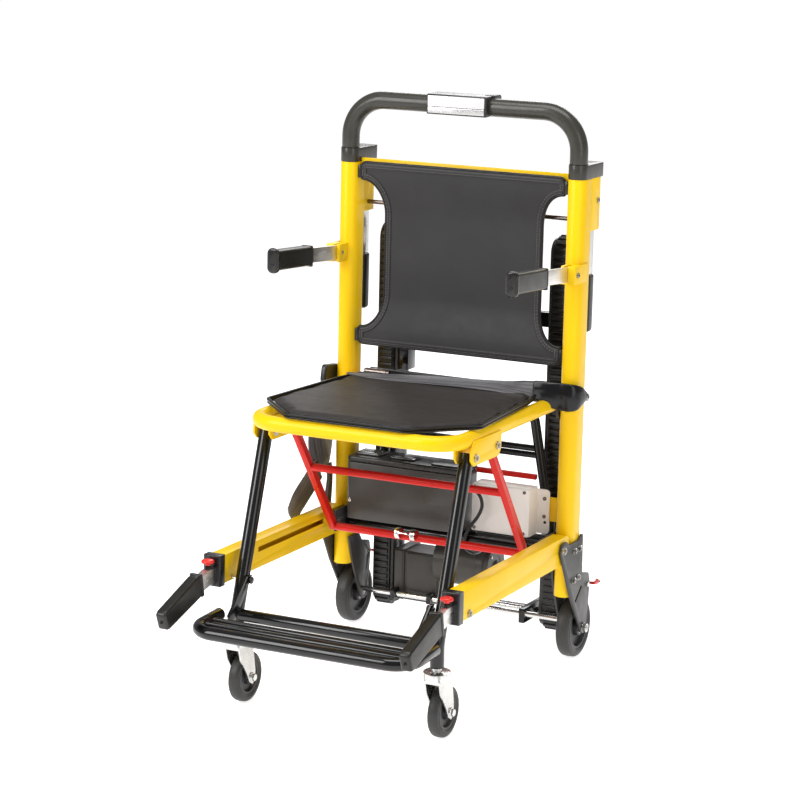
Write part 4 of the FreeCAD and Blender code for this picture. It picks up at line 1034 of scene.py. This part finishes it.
# ---------------------------------------------------------------- battery, controller, motor
def power_unit():
    outline = box_outline(-218, -116, 42, -33, [12, 9, 4, 4], 6)
    plates("battery_case", "chassis", BATTERY, "battery_plastic", ("Z", outline, 252, 371, 1.2, 2),
           ("Y", round_outline([(-40, 300), (40, 306), (40, 366), (-40, 366)], [3, 3, 3, 3], 3), -117.2, -113, 1, 2),
           replaces=["battery_box"], sharp=40)
    plates("battery_cover", "chassis", BATTERY_LID, "battery_plastic", ("Z", outline, 371.4, 384, 4.5, 5),
           ("Z", box_outline(-30, -108, 30, -48, 5, 4), 384.5, 387.5, 1.2, 2), replaces=["battery_lid"], sharp=40)
    latches = []
    for low, high in ((-206, -150), (-128, -72)):
        latches.append(("Z", box_outline(low, -98, high, -56, 4, 4), 384.6, 388.2, 1, 2))
        latches.append(("Z", box_outline(low + 5, -94, high - 5, -84, 3, 4), 388, 390, 0.9, 2))
    plates("battery_latches", "chassis", LATCH, "battery_plastic", *latches, sharp=40)
    turning("battery_screw", "chassis", CHROME, "bright_steel",
            ("Y", (-209, 291), [(4.2, -115.6), (4.2, -117), (3.4, -117.8), (1.8, -118), (1.6, -117.2), (0.2, -117.2)],
             20))
    plates("controller_case", "chassis", WHITE, "white_coat",
           ("Z", box_outline(53, -76, 179, -37, [3, 2, 2, 2], 4), 254, 353, 1.2, 3),
           ("Y", box_outline(52.5, 254.5, 179.5, 353, 4, 4), -80, -76.5, 1.0, 3),
           ("Y", box_outline(176, 256, 206, 348, [1, 8, 8, 1], 5), -39, -36, 0.8, 2),
           replaces=["controller_box"], sharp=40)
    front = [(3.6, -79.5), (3.6, -80.5), (2.6, -80.9), (2.4, -80.2), (0.2, -80.2)]
    flange = [(4, -38.5), (4, -40), (3, -41), (0.4, -41.2)]
    turning("controller_screws", "chassis", DARK_STEEL, "bright_steel",
            *[("Y", (x, z), front, 18) for x, z in ((59, 261), (168, 261), (59, 346), (168, 346))],
            *[("Y", (195, z), flange, 18) for z in (329, 292)])
    # Painted shade: a thin black disc on the flange stands in for the shaded inside of a hole.
    turning("controller_hole_painted_shade", "chassis", PIPING, "black_plastic",
            ("Y", (197, 280), [(3, -38.9), (3, -39.5), (0.3, -39.5)], 20))
    centre = (26, 154)
    turning("motor_body", "chassis", CASTING, "dark_casting",
            ("X", centre, [(20, -62), (46.5, -62), (48, -60.5), (48, -8), (47.2, -7.4), (47.2, -5.6), (48, -5),
                           (48, 34), (47, 35), (47, 37), (48, 38), (48, 50), (46.5, 52), (44.5, 52.5), (44, 61),
                           (42.5, 62.5), (24, 62.5), (23, 61.4), (14, 61.4), (13, 62.5), (8, 66), (0.5, 66)], 72),
            replaces=["motor"])
    screw = [(3.4, 62), (3.4, 64.6), (2.6, 65.2), (1.6, 65.2), (1.4, 64), (0.2, 64)]
    turning("motor_screws", "chassis", CHROME, "bright_steel",
            *[("X", (centre[0] + 35 * math.cos(angle), centre[1] + 35 * math.sin(angle)), screw, 18)
              for angle in (math.radians(45 + 90 * turn) for turn in range(4))])
    gland = Build()
    turned(gland, "Y", (50, 206), [(3.6, -3), (5, -2.6), (6.2, -0.5), (6.2, 3), (7.4, 3.4), (7.4, 7), (6, 7.4),
                                   (6, 14)], 24)
    slab(gland, "Z", box_outline(40, 1, 60, 22, 3, 3), 193, 210, 1.5, 2)
    gland.finish("motor_gland", "chassis", CAP_PLASTIC, sharp=40)
    plates("gearbox_cover", "chassis", CASTING, "dark_casting",
           ("Y", box_outline(-131, 80, -59, 163, 4, 4), -2.4, 2, 2.2, 3),
           ("X", box_outline(-1, 62, 77, 169, 5, 4), -139.5, -136.5, 0.8, 2),
           ("Y", box_outline(-159, 66, -140, 166, 3, 4), -1.5, 2, 1.5, 3), sharp=40)


def brace_trim():
    """Spring clip round the lower cross tube of the red brace."""
    foot = Vector((0, -176, 250))
    top = Vector((0, -363, 505))
    centre = top + (foot - top) * 0.985
    clip = Build()
    for x in (-62, -28):
        turned(clip, "X", (centre.y, centre.z), [(10.2, x - 5), (11.6, x - 5), (11.8, x), (11.6, x + 5),
                                                 (10.2, x + 5)], 36, loop=True)
    wire = [Vector((x, centre.y - back, centre.z + rise)) for x, back, rise in (
            (-62, 12.4, 1), (-56, 13.4, 3), (-45, 13.6, 4), (-34, 13.4, 3), (-28, 12.4, 1))]
    tube(clip, smooth_route(wire, 5), 1.3, 8)
    clip.finish("brace_clip", "brace", CHROME, sharp=35)


def brakes():
    """Sheet hood over the wheel with a lever under it and a small red foot tip."""
    cheek = round_outline([(-1, 142), (16, 141), (30, 150), (70, 140), (80, 141), (81, 149), (4, 174), (-2, 166)],
                          [2, 3, 8, 3, 2, 2, 4, 2], 4)
    top = round_outline([(2, 172.6), (81, 147.6), (81.6, 149.6), (3, 174.8)], 0.6, 3)
    lever = round_outline([(8, 128), (17, 127), (24, 158), (78, 138), (82, 144), (20, 166), (8, 160)],
                          [2, 2, 4, 3, 3, 6, 4], 4)
    tip = round_outline([(76, 132), (78, 143), (98, 139.5), (110, 134), (109, 129.5), (96, 128)],
                        [2, 3, 5, 3, 3, 5], 5)
    for side, name in SIDES:
        body, centre = "brake_" + name, side * 251
        plates("brake_hood_" + name, body, CHROME, "bright_steel",
               *[("X", cheek, x - 0.9, x + 0.9, 0.4, 2) for x in (centre - 12.4, centre + 12.4)],
               ("X", top, centre - 14, centre + 14, 0.6, 2), replaces=[body])
        plates("brake_lever_" + name, body, CAP_PLASTIC, "black_plastic",
               ("X", lever, centre - 9, centre + 9, 2, 3), sharp=40)
        plates("brake_tip_" + name, body, RED_PLASTIC, "red_plastic",
               ("X", tip, centre - 13, centre + 13, 4, 5), sharp=50)


def handle_rod():
    turning("handle_rod_sleeve", "chassis", DARK_STEEL, "bright_steel",
            ("X", (-17, 897), [(3.9, -230), (4.5, -229.8), (4.5, 229.8), (3.9, 230)], 24, True))


for make in (handle_rod, belt_sleeves, lap_belt, hanging_strap, hardware, wheels, track_belts, front_handles,
             release_buttons, arms, rear_handles, control_panel, power_unit, brace_trim, brakes):
    make()
